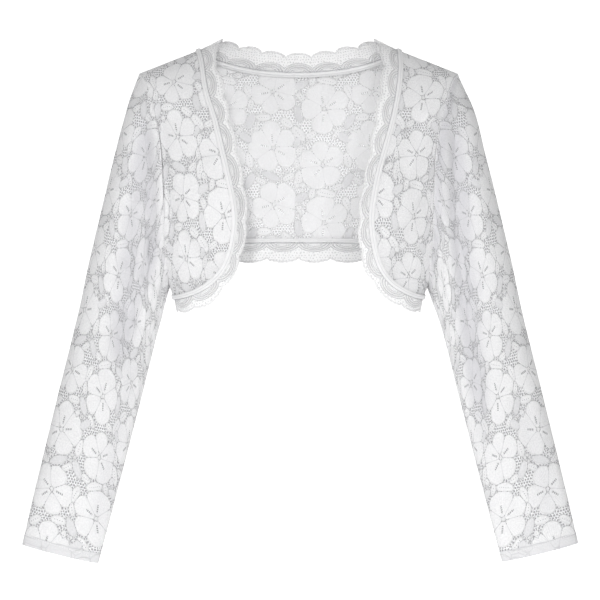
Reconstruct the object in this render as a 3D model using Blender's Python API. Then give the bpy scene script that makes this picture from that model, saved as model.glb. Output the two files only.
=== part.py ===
"""White lace bolero cardigan, hollow and filled out as worn.

Metres, +Z up. The fronts face -Y, and +X is the garment's own left side. The origin lies on the shoulder
line midway between the two high shoulder points, where the wearer's shoulders hold it up.
"Drop" is the distance below the origin. "Turn" runs round a torso ring from 0 at its centre line, front or
back, to 1 at the side, so the shoulder seam and the side seam both lie at turn 1.
"""

import math
from collections import namedtuple

import bmesh
import bpy
import numpy as np

MM = 0.001

# Cloth
WALL = 1.5 * MM
SEAM_GAP = 0.3 * MM
MOST_MITRE = 2.6

# Shoulder line: level with the origin at SHOULDER_START, and falling evenly to the shoulder point. The neck
# point and the shoulder point, the ends of the shoulder seam, are given as (turn, drop).
SHOULDER_START = 88 * MM
SHOULDER_HALF = 193 * MM
SHOULDER_DROP = 41.5 * MM
SHOULDER_SLOPE = SHOULDER_DROP / (SHOULDER_HALF - SHOULDER_START)
NECK_POINT = (1.0, 13 * MM)
SHOULDER_POINT = (1.0, SHOULDER_DROP)

# Torso rings, in millimetres. ROUNDNESS 2 would be an ellipse. Beside the armhole the rings run on, past
# the cloth, so that the shoulder stays one smooth dome.
ROUNDNESS = 2.3
HALVINGS = 40
PROBE = 0.5 * MM
CURVE_POINTS = 600
Width = namedtuple("Width", "drop half_width")
WIDTHS = (
    Width(41.5, 193),
    Width(48, 206),
    Width(58, 216),
    Width(72, 220),
    Width(90, 217),
    Width(115, 209),
    Width(151, 197.5),
    Width(200, 184.5),
    Width(244, 173.5),
    Width(285, 161),
    Width(299, 157),
    Width(314, 151.5),
    Width(333, 147.5),
    Width(350, 146.5),
)
Depth = namedtuple("Depth", "drop front back")
DEPTHS = (
    Depth(-10, 16, 24),
    Depth(12, 32, 42),
    Depth(37, 50, 62),
    Depth(67, 69, 79),
    Depth(100, 84, 92),
    Depth(150, 97, 98),
    Depth(190, 101, 97),
    Depth(230, 97, 92),
    Depth(270, 88, 86),
    Depth(313, 79, 80),
    Depth(350, 75, 76),
)

# Largest folds of the body: soft troughs between two points of the front view, in millimetres. Each one
# fades in over FOLD_FADE of its length at both ends, and close to the side seam.
FOLD_FADE = 0.3
SIDE_FADE = 3
BodyFold = namedtuple("BodyFold", "side face x_from drop_from x_to drop_to half_width depth")
BODY_FOLDS = (
    BodyFold(-1, -1, 156, 205, 112, 288, 13, 5.0),
    BodyFold(-1, -1, 150, 92, 108, 150, 15, 3.5),
    BodyFold(1, -1, 158, 188, 118, 292, 14, 4.5),
    BodyFold(1, -1, 148, 100, 120, 168, 13, 3.0),
    BodyFold(-1, 1, 60, 70, 48, 225, 16, 4.0),
    BodyFold(1, 1, 72, 88, 52, 232, 14, 4.5),
    BodyFold(1, 1, 152, 190, 104, 262, 14, 4.0),
    BodyFold(-1, 1, 150, 178, 98, 250, 13, 3.5),
)

# Armhole seam as the front view shows it, in millimetres. Its ends lie on the shoulder and side seams,
# and an x past the ring's half width is taken as the side.
Armhole = namedtuple("Armhole", "x drop")
ARMHOLE = (
    Armhole(194, 41.5),
    Armhole(186, 50),
    Armhole(179.5, 66),
    Armhole(173, 88),
    Armhole(166.5, 115),
    Armhole(162.5, 151),
    Armhole(161, 200),
    Armhole(161, 244),
    Armhole(159, 272),
    Armhole(157.5, 289),
    Armhole(158, 299),
)
ARMHOLE_STEPS = 13
SIDE_STEPS = 1

# Scalloped band of each front, in millimetres: the seam and the free edge in the front view, from the
# shoulder seam down the front and round the corner to the side seam, and how far the edge turns in.
Band = namedtuple("Band", "seam_x seam_drop edge_x edge_drop turn_in")
FRONT_BANDS = {
    -1: (
        Band(122, 13, 92, -2, 0),
        Band(117, 31, 99, 25, 2),
        Band(113, 55, 90, 53, 2),
        Band(109, 74, 85, 74, 3),
        Band(99, 105, 80, 101, 5),
        Band(90, 141, 71, 137, 7),
        Band(83, 171, 65, 168, 9),
        Band(76, 205, 60, 203, 12),
        Band(75, 228, 60, 231, 13),
        Band(79, 254, 65, 259, 13),
        Band(87, 276, 74, 284, 12),
        Band(101, 293, 89, 306, 10),
        Band(117, 304, 109, 325, 7),
        Band(136, 311, 132, 332, 3),
        Band(153, 314, 148, 333, 0),
    ),
    1: (
        Band(122, 13, 92, -2, 0),
        Band(122.5, 38, 99, 29, 2),
        Band(119.5, 67, 96, 63, 2),
        Band(112, 103, 89, 101, 4),
        Band(103, 136, 84, 135, 7),
        Band(95, 165, 78, 166, 9),
        Band(88.5, 196, 72, 198, 11),
        Band(86, 223, 70, 226, 12),
        Band(89, 250, 71, 254, 11),
        Band(96, 275, 78, 282, 10),
        Band(109, 294, 93, 305, 8),
        Band(125, 305, 115, 324, 5),
        Band(139, 311, 134, 331, 2),
        Band(153, 314, 148, 333, 0),
    ),
}

# Band along the back hem: the seam and the free edge, from the centre back to the side seam
HEM_BAND = (
    Band(0, 242, 0, 271, 2),
    Band(40, 242, 40, 271, 2),
    Band(75, 243.5, 73, 272, 2),
    Band(101, 252, 96, 280, 3),
    Band(122, 268, 115, 295, 3),
    Band(138, 289, 133, 313, 2),
    Band(147, 304, 143, 326, 1),
    Band(153, 314, 148, 333, 0),
)

# Band round the back of the neck, in millimetres: its seam on the back, and the free edge in plan and drop
Neck = namedtuple("Neck", "seam_x seam_drop edge_x edge_y edge_drop")
NECK_BAND = (
    Neck(122, 13, 92, 0, -2),
    Neck(109, 19, 82, 22, -1),
    Neck(88, 25.5, 66, 38, 1),
    Neck(62, 31, 46, 47, 3),
    Neck(30, 34.5, 23, 53, 7),
    Neck(0, 35.5, 0, 54, 8),
)

SCALLOP = 39 * MM
SCALLOP_SHARE = 0.2
SCALLOP_ROUNDNESS = 0.55
SCALLOP_START = 0.5
SCALLOP_STEPS = 6
LEAST_STEP = 2.6 * MM

# Tapes stitched over the band's seam, outside and inside
TAPE_HALF = 2.6 * MM
TAPE_WALL = 1.0 * MM
TAPE_LIFT = 0.7 * MM
TAPE_MARGIN = 0.8 * MM
OUTER_TAPE_END_GAP = 1.0 * MM
INNER_TAPE_END_GAP = 3.6 * MM

# Columns of wall between seams
FRONT_COLUMNS = 8
NECK_COLUMNS = 6
SHOULDER_COLUMNS = 4
BACK_COLUMNS = NECK_COLUMNS + SHOULDER_COLUMNS

# Sleeve axis, measured along itself from the height of the shoulder point, and the rings across it
SLEEVE_LEAN = math.radians(13.8)
Arm = namedtuple("Arm", "shoulder_x length")
ARMS = {-1: Arm(145.5 * MM, 600 * MM), 1: Arm(150 * MM, 598 * MM)}
Ring = namedtuple("Ring", "along half_width half_depth forward")
SLEEVE_RINGS = (
    Ring(-10, 45, 42, 0),
    Ring(40, 50.5, 54, 0),
    Ring(75, 52, 60, 0),
    Ring(110, 52.2, 62, 0),
    Ring(160, 52, 58, 0),
    Ring(206, 51.8, 51.5, 0),
    Ring(253, 51.4, 46, 0),
    Ring(295, 49.8, 41.5, 1),
    Ring(400, 49.1, 34, 6),
    Ring(500, 48.4, 25, 12),
    Ring(560, 47.8, 18, 15),
    Ring(600, 46.8, 14, 17),
)
SLEEVE_ROUNDNESS = 2.2
SLEEVE_ROWS = 20
CAP_BLEND = 60 * MM
TURN_BLEND = 200 * MM
CUFF_DEPTH = 13 * MM
CUFF_STEP = 1 * MM
CUFF_EXTRA = 0.7 * MM

# Largest folds of the sleeves: angle 0 faces out, 90 faces front, 180 faces the body
ArmFold = namedtuple("ArmFold", "side along_from along_to angle_from angle_to half_width depth")
ARM_FOLDS = (
    ArmFold(-1, 60, 350, 66, 104, 15, 7.0),
    ArmFold(-1, 330, 560, 132, 140, 14, 3.5),
    ArmFold(-1, 90, 330, -70, -110, 15, 6.0),
    ArmFold(-1, 380, 550, -80, -60, 14, 3.0),
    ArmFold(1, 50, 440, 62, 134, 15, 7.0),
    ArmFold(1, 400, 570, 70, 60, 14, 3.0),
    ArmFold(1, 100, 350, -60, -115, 15, 6.0),
    ArmFold(1, 390, 560, -105, -90, 14, 3.5),
)

Colour = namedtuple("Colour", "red green blue")
CLOTH_WHITE = Colour(0.86, 0.86, 0.86)
TRIM_WHITE = Colour(0.89, 0.89, 0.89)
TAPE_WHITE = Colour(0.92, 0.92, 0.92)
CLOTH_ROUGHNESS = 0.8
SHARP_ANGLE = math.radians(50)
KEY_STEP = 1e-6
SIDE_NAMES = {-1: "right", 1: "left"}


def smooth(at, knots, values):
    """A smooth curve through values at knots; values may have several columns."""
    knots = np.asarray(knots, float)
    values = np.asarray(values, float)
    at = np.asarray(at, float)
    slopes = np.gradient(values, knots, axis=0)
    lower = np.clip(np.searchsorted(knots, at, side="right") - 1, 0, len(knots) - 2)
    width = knots[lower + 1] - knots[lower]
    share = np.clip((at - knots[lower]) / width, 0, 1)
    if values.ndim > 1:
        width = width[..., None]
        share = share[..., None]
    rise = values[lower + 1] - values[lower]
    ease = share * share * (3 - 2 * share)
    start = share * (1 - share) ** 2 * width * slopes[lower]
    end = share * share * (1 - share) * width * slopes[lower + 1]
    return values[lower] + rise * ease + start - end


def step_up(share):
    """0 below 0, 1 above 1, and an even curve between."""
    share = np.clip(share, 0, 1)
    return share * share * (3 - 2 * share)


def unit(vectors):
    return vectors / np.maximum(np.linalg.norm(vectors, axis=-1, keepdims=True), 1e-12)


def column(rows, name):
    return [getattr(row, name) for row in rows]


def half_width(drop):
    """Half the width of the torso ring at this drop: the shoulder line above the shoulder point."""
    below = smooth(drop / MM, column(WIDTHS, "drop"), column(WIDTHS, "half_width")) * MM
    return np.where(drop < SHOULDER_DROP, SHOULDER_START + drop / SHOULDER_SLOPE, below)


def ring_depth(drop, face):
    name = "front" if face < 0 else "back"
    return smooth(drop / MM, column(DEPTHS, "drop"), column(DEPTHS, name)) * MM


def fade_ends(share):
    """1 along a fold, falling to 0 just past its two ends."""
    return step_up(share / FOLD_FADE + 0.5) * step_up((1 - share) / FOLD_FADE + 0.5)


def trough(x, drop, side, face):
    """How far the folds push the cloth of this half in, towards the wearer."""
    total = np.zeros(np.broadcast(x, drop).shape)
    for fold in BODY_FOLDS:
        if (fold.side, fold.face) != (side, face):
            continue
        start = np.array([fold.x_from, fold.drop_from]) * MM
        way = np.array([fold.x_to, fold.drop_to]) * MM - start
        along = ((x - start[0]) * way[0] + (drop - start[1]) * way[1]) / (way @ way)
        aside = ((x - start[0]) * way[1] - (drop - start[1]) * way[0]) / np.linalg.norm(way)
        ends = fade_ends(along)
        total = total + fold.depth * MM * ends * np.exp(-((aside / (fold.half_width * MM)) ** 2))
    return total


def ring_place(turn, drop, face):
    """How far out and how far to the front or back a point of the smooth torso ring lies."""
    quarter = np.clip(turn, 0, 1) * math.pi / 2
    out = half_width(drop) * np.sin(quarter) ** (2 / ROUNDNESS)
    ahead = ring_depth(drop, face) * np.clip(np.cos(quarter), 0, 1) ** (2 / ROUNDNESS)
    return out, ahead


def torso_point(turn, drop, side, face):
    """A point of the worn torso on one side (-1 right, 1 left) and one face (-1 front, 1 back)."""
    x, y = ring_place(turn, drop, face)
    y = y - trough(x, drop, side, face) * step_up(SIDE_FADE * np.cos(turn * math.pi / 2))
    return np.stack([side * x, face * y, -drop], axis=-1)


def reach(turn, drop, face):
    """How far out plus how far round a point lies: close to its distance along the ring from the centre."""
    out, ahead = ring_place(turn, drop, face)
    return out + ring_depth(drop, face) - ahead


def turn_of_reach(wanted, drop, face):
    """The turn at which a ring comes to this reach, by halving the span that holds it."""
    low, high = np.zeros_like(wanted), np.ones_like(wanted)
    for _ in range(HALVINGS):
        middle = (low + high) / 2
        short = reach(middle, drop, face) < wanted
        low, high = np.where(short, middle, low), np.where(short, high, middle)
    return (low + high) / 2


def turn_at(x, drop):
    share = np.clip(x / half_width(drop), 0, 1)
    return np.arcsin(share ** (ROUNDNESS / 2)) * 2 / math.pi


def torso_normals(places, side, face):
    """Outward directions of the torso surface, from four points close round each place."""
    turn, drop = places[..., 0], places[..., 1]
    here = reach(turn, drop, face)
    near = []
    for out, down in ((-PROBE, 0), (PROBE, 0), (0, -PROBE), (0, PROBE)):
        near.append(torso_point(turn_of_reach(here + out, drop + down, face), drop + down, side, face))
    return side * face * unit(np.cross(near[1] - near[0], near[3] - near[2]))


def lengths_along(points):
    steps = np.linalg.norm(np.diff(points, axis=0), axis=1)
    return np.concatenate([[0], np.cumsum(steps)])


def sample(shares, at, values):
    """values, known at rising shares, read off at other shares."""
    return np.stack([np.interp(at, shares, values[:, k]) for k in range(values.shape[1])], axis=1)


def dense(rows, names):
    """The named columns of a table, as a smooth curve of many points."""
    table = np.stack([column(rows, name) for name in names], axis=1)
    return smooth(np.linspace(0, len(rows) - 1, CURVE_POINTS), np.arange(len(rows)), table)


def seam_line(rows, x_name, drop_name, side, face):
    """A seam from a table: its shares of length, and its turns and drops."""
    x, drop = dense(rows, (x_name, drop_name)).T * MM
    places = np.stack([turn_at(x, drop), drop], axis=1)
    lengths = lengths_along(torso_point(places[:, 0], places[:, 1], side, face))
    return lengths / lengths[-1], places


def armhole_places():
    """Turn and drop of the armhole's evenly spaced points, shoulder to underarm, the same on each face."""
    shares, places = seam_line(ARMHOLE, "x", "drop", 1, -1)
    return sample(shares, np.linspace(0, 1, ARMHOLE_STEPS + 1), places)


def outer_side():
    """Armhole and side seam, as the outer side of a front or back."""
    arm = armhole_places()
    foot = FRONT_BANDS[1][-1].seam_drop * MM
    drops = np.linspace(arm[-1, 1], foot, SIDE_STEPS + 1)[1:]
    return np.concatenate([arm, np.stack([np.ones(SIDE_STEPS), drops], axis=1)])


def patch(top, bottom, left, right, face):
    """Turns and drops filled in between four sides that share their corners."""
    sides = []
    for side in (top, bottom, left, right):
        sides.append(np.stack([reach(side[:, 0], side[:, 1], face), side[:, 1]], axis=1))
    upper, lower, inner, outer = sides
    down = np.linspace(0, 1, len(left))[:, None, None]
    across = np.linspace(0, 1, len(top))[None, :, None]
    rows = (1 - across) * inner[:, None] + across * outer[:, None]
    upper_bend = upper - ((1 - across) * upper[0] + across * upper[-1])
    lower_bend = lower - ((1 - across) * lower[0] + across * lower[-1])
    filled = rows + (1 - down) * upper_bend + down * lower_bend
    filled[..., 0] = turn_of_reach(filled[..., 0], filled[..., 1], face)
    filled[0], filled[-1], filled[:, 0], filled[:, -1] = top, bottom, left, right
    return filled


def straight(start, end, steps):
    return np.linspace(start, end, steps + 1)


def front_places(side):
    """The front's grid of turns and drops: rows run down, columns from the front edge to the side."""
    rows = ARMHOLE_STEPS + SIDE_STEPS
    shares, places = seam_line(FRONT_BANDS[side], "seam_x", "seam_drop", side, -1)
    edge = sample(shares, np.linspace(0, 1, rows + FRONT_COLUMNS + 1), places)
    shoulder = straight(NECK_POINT, SHOULDER_POINT, FRONT_COLUMNS)
    return patch(shoulder, edge[rows:], edge[: rows + 1], outer_side(), -1)


def back_places(side):
    """The back half's grid: rows run down, columns from the centre back to the side."""
    rows = ARMHOLE_STEPS + SIDE_STEPS
    shares, places = seam_line(NECK_BAND, "seam_x", "seam_drop", side, 1)
    neck = sample(shares, np.linspace(1, 0, NECK_COLUMNS + 1), places)
    shoulder = straight(NECK_POINT, SHOULDER_POINT, SHOULDER_COLUMNS)
    shares, places = seam_line(HEM_BAND, "seam_x", "seam_drop", side, 1)
    hem = sample(shares, np.linspace(0, 1, BACK_COLUMNS + 1), places)
    centre = straight((0.0, neck[0, 1]), (0.0, hem[0, 1]), rows)
    return patch(np.concatenate([neck, shoulder[1:]]), hem, centre, outer_side(), 1)


class Grid:
    """A sheet of points, with its own outward normals and which of its sides are sewn."""

    def __init__(self, name, points, group, sewn, closed=False, flip=False, wall=WALL, normals=None):
        self.name = name
        self.points = points
        self.group = group
        self.sewn = sewn
        self.closed = closed
        self.wall = wall
        down = np.gradient(points, axis=0)
        if closed:
            across = (np.roll(points, -1, axis=1) - np.roll(points, 1, axis=1)) / 2
        else:
            across = np.gradient(points, axis=1)
        if normals is None:
            normals = unit(np.cross(across, down)) * (-1 if flip else 1)
        self.normals = normals
        self.half = self.normals * wall / 2
        self.shift = np.zeros_like(points)
        self.fit = np.ones(points.shape[:2])

    def sides(self):
        """Each sewn side as the indices of its points and of the points one step in."""
        rows, columns = self.points.shape[:2]
        down, across = np.arange(rows), np.arange(columns)
        known = {
            "top": ((np.zeros(columns, int), across), (np.ones(columns, int), across)),
            "bottom": ((np.full(columns, rows - 1), across), (np.full(columns, rows - 2), across)),
            "left": ((down, np.zeros(rows, int)), (down, np.ones(rows, int))),
            "right": ((down, np.full(rows, columns - 1)), (down, np.full(rows, columns - 2))),
        }
        return [known[name] for name in self.sewn]


def place_key(point):
    """The same key for the same place in any two pieces."""
    return tuple(np.round(point / KEY_STEP).astype(int))


def join_seams(grids):
    """Where pieces meet, each wall gets the same mitred end, and draws back half the seam's gap."""
    found = {}
    for grid in grids:
        for edge, _ in grid.sides():
            for point, normal in zip(grid.points[edge], grid.normals[edge]):
                found.setdefault(place_key(point), {}).setdefault(grid.group, []).append(normal)
    for grid in grids:
        for edge, inner in grid.sides():
            for row, step in zip(zip(*edge), zip(*inner)):
                groups = found[place_key(grid.points[row])]
                means = [unit(np.mean(normals, axis=0)) for normals in groups.values()]
                common = unit(np.sum(means, axis=0))
                fit = max(1 / MOST_MITRE, float(np.min([common @ mean for mean in means])))
                grid.half[row] = common * grid.wall / 2 / fit
                grid.fit[row] = fit
        draw_back(grid)


def draw_back(grid):
    for edge, inner in grid.sides():
        line = grid.points[edge]
        along = np.gradient(line, axis=0)
        if grid.closed:
            along = np.roll(line, -1, axis=0) - np.roll(line, 1, axis=0)
        along = unit(along)
        inward = grid.points[inner] - line
        inward = unit(inward - np.sum(inward * along, axis=1, keepdims=True) * along)
        grid.shift[edge] += inward * (SEAM_GAP / 2 / grid.fit[edge])[:, None]


def material(name, colour):
    made = bpy.data.materials.new(name)
    made.use_nodes = True
    shader = made.node_tree.nodes["Principled BSDF"]
    shader.inputs["Base Color"].default_value = (*colour, 1)
    shader.inputs["Roughness"].default_value = CLOTH_ROUGHNESS
    shader.inputs["Metallic"].default_value = 0
    made.diffuse_color = (*colour, 1)
    return made


def add_wall(name, outer, inner, colour, closed=False):
    """One closed solid between two matching grids; closed grids join their last column to the first."""
    rows, columns = outer.shape[:2]
    number = np.arange(2 * rows * columns).reshape(2, rows, columns)
    if closed:
        number = np.concatenate([number, number[:, :, :1]], axis=2)
    out, within = number
    faces = []
    for i in range(rows - 1):
        for j in range(out.shape[1] - 1):
            faces.append((out[i, j], out[i + 1, j], out[i + 1, j + 1], out[i, j + 1]))
            faces.append((within[i, j], within[i, j + 1], within[i + 1, j + 1], within[i + 1, j]))
    borders = [(out[0], within[0]), (out[-1, ::-1], within[-1, ::-1])]
    if not closed:
        borders += [(out[::-1, 0], within[::-1, 0]), (out[:, -1], within[:, -1])]
    for front, back in borders:
        for k in range(len(front) - 1):
            faces.append((front[k], front[k + 1], back[k + 1], back[k]))
    mesh = bpy.data.meshes.new(name)
    corners = np.concatenate([outer.reshape(-1, 3), inner.reshape(-1, 3)])
    mesh.from_pydata(corners.tolist(), [], faces)
    split_quads(mesh)
    turn_outward(mesh)
    mesh.materials.append(material(name, colour))
    mesh.shade_smooth()
    mesh.set_sharp_from_angle(angle=SHARP_ANGLE)
    piece = bpy.data.objects.new(name, mesh)
    bpy.context.scene.collection.objects.link(piece)


def split_quads(mesh):
    """Parts every quad along its shorter diagonal, so that both sides of the garment match."""
    shape = bmesh.new()
    shape.from_mesh(mesh)
    bmesh.ops.triangulate(shape, faces=shape.faces, quad_method="SHORT_EDGE")
    shape.to_mesh(mesh)
    shape.free()


def turn_outward(mesh):
    """Turns the faces round where the mesh holds a negative volume."""
    mesh.calc_loop_triangles()
    points = np.array([vertex.co for vertex in mesh.vertices])
    corners = points[np.array([triangle.vertices for triangle in mesh.loop_triangles])]
    if np.linalg.det(corners - points.mean(axis=0)).sum() < 0:
        mesh.flip_normals()


def add_grid(grid, colour, extra_out=None):
    """The wall of a grid: half the thickness each way, and any extra on the outside."""
    middle = grid.points + grid.shift
    outer = middle + grid.half
    if extra_out is not None:
        outer = outer + grid.normals * extra_out[:, None, None]
    add_wall(grid.name, outer, middle - grid.half, colour, grid.closed)


def body_grids():
    grids = {}
    sewn = ("top", "bottom", "left", "right")
    for side in (-1, 1):
        for kind, face, places in (("front_", -1, front_places(side)), ("back_", 1, back_places(side))):
            name = kind + SIDE_NAMES[side]
            points = torso_point(places[..., 0], places[..., 1], side, face)
            normals = torso_normals(places, side, face)
            grids[name] = Grid(name, points, "torso", sewn, normals=normals)
    return grids


def sleeve_frame(side, along):
    """The axis point and the outward direction across the sleeve at a distance along it."""
    forward = smooth(along / MM, column(SLEEVE_RINGS, "along"), column(SLEEVE_RINGS, "forward")) * MM
    x = ARMS[side].shoulder_x + along * math.sin(SLEEVE_LEAN)
    z = -SHOULDER_DROP - along * math.cos(SLEEVE_LEAN)
    out = np.array([side * math.cos(SLEEVE_LEAN), 0, math.sin(SLEEVE_LEAN)])
    return np.stack([side * x, -forward, z], axis=-1), out


def ring_sizes(along):
    knots = column(SLEEVE_RINGS, "along")
    wide = smooth(along / MM, knots, column(SLEEVE_RINGS, "half_width")) * MM
    deep = smooth(along / MM, knots, column(SLEEVE_RINGS, "half_depth")) * MM
    return wide, deep


def rounded(value):
    return np.sign(value) * np.abs(value) ** (2 / SLEEVE_ROUNDNESS)


def sleeve_surface(side, along, angle):
    """A point of the plain sleeve: angle 0 faces out, a quarter turn faces front, half a turn the body."""
    centre, out = sleeve_frame(side, along)
    wide, deep = ring_sizes(along)
    front = np.array([0, -1, 0])
    offset = (wide * rounded(np.cos(angle)))[..., None] * out
    offset = offset + (deep * rounded(np.sin(angle)))[..., None] * front
    return centre + offset


def even_angles(along, count):
    """Angles that part the ring at this place into equal lengths, from the body's side round the front."""
    wide, deep = ring_sizes(np.array(along))
    angles = np.linspace(math.pi, -math.pi, CURVE_POINTS)
    ring = np.stack([wide * rounded(np.cos(angles)), deep * rounded(np.sin(angles))], axis=1)
    lengths = lengths_along(ring)
    return np.interp(np.arange(count) / count * lengths[-1], lengths, angles)


def arm_trough(side, along, angle, size):
    total = np.zeros_like(along)
    for fold in ARM_FOLDS:
        if fold.side != side:
            continue
        share = (along / MM - fold.along_from) / (fold.along_to - fold.along_from)
        middle = np.radians(fold.angle_from + (fold.angle_to - fold.angle_from) * share)
        aside = (np.mod(angle - middle + math.pi, 2 * math.pi) - math.pi) * size
        ends = fade_ends(share)
        total = total + fold.depth * MM * ends * np.exp(-((aside / (fold.half_width * MM)) ** 2))
    return total


def sleeve_grid(side, front, back):
    """The sleeve from the armhole ring, which the front and back share, down to the cuff."""
    arm = ARMHOLE_STEPS + 1
    ring = np.concatenate([front.points[:arm, -1][::-1], back.points[1 : arm - 1, -1]])
    count = len(ring)
    top, out = sleeve_frame(side, np.array(0.0))
    along_way = np.array([side * math.sin(SLEEVE_LEAN), 0, -math.cos(SLEEVE_LEAN)])
    starts = (ring - top) @ along_way
    centres, _ = sleeve_frame(side, starts)
    wide, deep = ring_sizes(starts)
    across = (ring - centres) @ out / wide
    ahead = -(ring - centres)[:, 1] / deep
    power = SLEEVE_ROUNDNESS / 2
    angles = np.arctan2(np.sign(ahead) * np.abs(ahead) ** power, np.sign(across) * np.abs(across) ** power)
    angles[0] = math.pi
    rest = ring - sleeve_surface(side, starts, angles)
    length = ARMS[side].length
    spots = (length - CUFF_DEPTH - CUFF_STEP - starts)
    rows = []
    for share in np.linspace(0, 1, SLEEVE_ROWS + 1):
        rows.append(starts + spots * share)
    rows.append(np.full(count, length - CUFF_DEPTH))
    rows.append(np.full(count, length))
    points = []
    for along in rows:
        even = even_angles(float(np.mean(along)), count)
        mix = step_up((along - starts) / TURN_BLEND)
        angle = angles * (1 - mix) + even * mix
        point = sleeve_surface(side, along, angle)
        centre, _ = sleeve_frame(side, along)
        wide, deep = ring_sizes(along)
        sunk = arm_trough(side, along, angle, (wide + deep) / 2) * step_up((along - starts) / CAP_BLEND)
        point = point - unit(point - centre) * sunk[:, None]
        stay = 1 - step_up((along - starts) / CAP_BLEND)
        points.append(point + rest * stay[:, None])
    name = "sleeve_" + SIDE_NAMES[side]
    return Grid(name, np.array(points), "sleeve", ("top",), closed=True, flip=side > 0)


def band_route(rows, side, face):
    """Shares of the seam's length with the free edge's points beside them."""
    shares, _ = seam_line(rows, "seam_x", "seam_drop", side, face)
    curve = dense(rows, ("edge_x", "edge_drop", "turn_in")) * MM
    edge_x, edge_drop, turn_in = curve.T
    share = np.clip(edge_x / half_width(edge_drop), 0, 1)
    depth = ring_depth(edge_drop, face) * (1 - share**ROUNDNESS) ** (1 / ROUNDNESS) - turn_in
    return shares, np.stack([side * edge_x, face * np.maximum(depth, 0), -edge_drop], axis=1)


def neck_route(side):
    shares, _ = seam_line(NECK_BAND, "seam_x", "seam_drop", side, 1)
    curve = dense(NECK_BAND, ("edge_x", "edge_y", "edge_drop")) * MM
    return shares, curve * np.array([side, 1, -1])


def scallop(share_of_repeat):
    """1 at the middle of a lobe, 0 at the notch between two."""
    return np.abs(np.sin(math.pi * share_of_repeat)) ** SCALLOP_ROUNDNESS


def stations(seam):
    """Places along a band: all the seam's own corners, and even steps of each scallop between them."""
    lengths = lengths_along(seam)
    lobes = round(lengths[-1] / SCALLOP)
    even = np.linspace(0, lengths[-1], lobes * SCALLOP_STEPS + 1)
    nearest = np.abs(even[:, None] - lengths[None]).min(axis=1)
    kept = even[nearest > LEAST_STEP]
    places = np.sort(np.concatenate([lengths, kept]))
    return places / lengths[-1], np.isin(places, lengths), lobes


class BandPiece:
    """A scalloped band: its grid, sewn along its root and free along its rim, and its corner places."""

    def __init__(self, name, seam, shares, edge, flip):
        self.places, self.at_corner, lobes = stations(seam.points)
        root = sample(self.places[self.at_corner], self.places, seam.points)
        tip = sample(shares, self.places, edge)
        strip = root + unit(tip - root) * (TAPE_HALF + TAPE_MARGIN)
        reach = 1 - SCALLOP_SHARE * (1 - scallop(SCALLOP_START + self.places * lobes))
        rim = root + (tip - root) * reach[:, None]
        self.grid = Grid(name, np.stack([root, strip, rim]), "trim", ("top", "left", "right"), flip=flip)

    def follow_seam(self):
        """Between the seam's corners, the sewn strip follows the straight wall that it is sewn to."""
        known = self.places[self.at_corner]
        for values in (self.grid.points, self.grid.half, self.grid.shift):
            for row in (0, 1):
                values[row] = sample(known, self.places, values[row][self.at_corner])

    def tape(self, name, seam, outside):
        """The tape over the seam: three points across, clear of the cloth and the band by TAPE_LIFT."""
        band = self.grid
        root = seam.points + outside * seam.half
        along = unit(np.gradient(root, axis=0))
        on_cloth = unit(np.cross(seam.normals, along))
        on_cloth = on_cloth * np.sign(np.sum(on_cloth * (seam.inner - seam.points)))
        on_band = (band.points[1] + outside * band.half[1])[self.at_corner] - root
        band_normals = band.normals[0][self.at_corner]
        common = unit(seam.normals + band_normals)
        fit = np.maximum(np.sum(common * seam.normals, axis=1, keepdims=True), 1 / MOST_MITRE)
        rise = outside * (TAPE_LIFT + TAPE_WALL / 2)
        points = np.stack([
            root + on_cloth * TAPE_HALF + seam.normals * rise,
            root + common * rise / fit,
            root + across_by(on_band, along, TAPE_HALF) + band_normals * rise,
        ])
        end_gap = OUTER_TAPE_END_GAP if outside > 0 else INNER_TAPE_END_GAP
        for end, step in ((0, 1), (-1, -2)):
            points[:, end] += unit(points[:, step] - points[:, end]) * end_gap / 2
        grid = Grid(name, points, "tape", (), wall=TAPE_WALL)
        if np.sum(grid.normals[1] * common) < 0:
            grid.half = -grid.half
        return grid


def across_by(way, along, width):
    """The part of each way that lies this width square to the seam."""
    square = way - np.sum(way * along, axis=1, keepdims=True) * along
    return way * width / np.linalg.norm(square, axis=1, keepdims=True)


Seam = namedtuple("Seam", "points half inner normals")


def seam_from(grid, rows, columns, inner_rows, inner_columns):
    """A stretch of a grid's border, with the grid's points one step into the cloth."""
    inner = grid.points[inner_rows, inner_columns]
    return Seam(grid.points[rows, columns], grid.half[rows, columns], inner, grid.normals[rows, columns])


def front_seam(grid):
    """Down the front edge, then along the lower edge to the side."""
    last = ARMHOLE_STEPS + SIDE_STEPS
    down, across = np.arange(last + 1), np.arange(1, FRONT_COLUMNS + 1)
    rows = np.concatenate([down, np.full(len(across), last)])
    columns = np.concatenate([np.zeros(len(down), int), across])
    inner_rows = np.concatenate([down[:-1], [last - 1], np.full(len(across), last - 1)])
    inner_columns = np.concatenate([np.ones(len(down), int), across])
    return seam_from(grid, rows, columns, inner_rows, inner_columns)


def back_seam(grid, kind):
    """From the centre back out to the side: the hem, or the neck as far as the shoulder seam."""
    if kind == "hem":
        across = np.arange(BACK_COLUMNS + 1)
        row, inner = ARMHOLE_STEPS + SIDE_STEPS, ARMHOLE_STEPS + SIDE_STEPS - 1
    else:
        across = np.arange(NECK_COLUMNS + 1)
        row, inner = 0, 1
    return seam_from(grid, np.full(len(across), row), across, np.full(len(across), inner), across)


def seam_of(kind, body):
    """The seam that a band is sewn to; across the back it runs from the right side to the left."""
    if kind in ("neck", "hem"):
        right, left = (back_seam(body["back_" + SIDE_NAMES[side]], kind) for side in (-1, 1))
        return Seam(*(np.concatenate([a[::-1], b[1:]]) for a, b in zip(right, left)))
    return front_seam(body[kind])


def front_band(side, body):
    word = SIDE_NAMES[side]
    shares, edge = band_route(FRONT_BANDS[side], side, -1)
    return BandPiece("front_trim_" + word, seam_of("front_" + word, body), shares, edge, side > 0)


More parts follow.
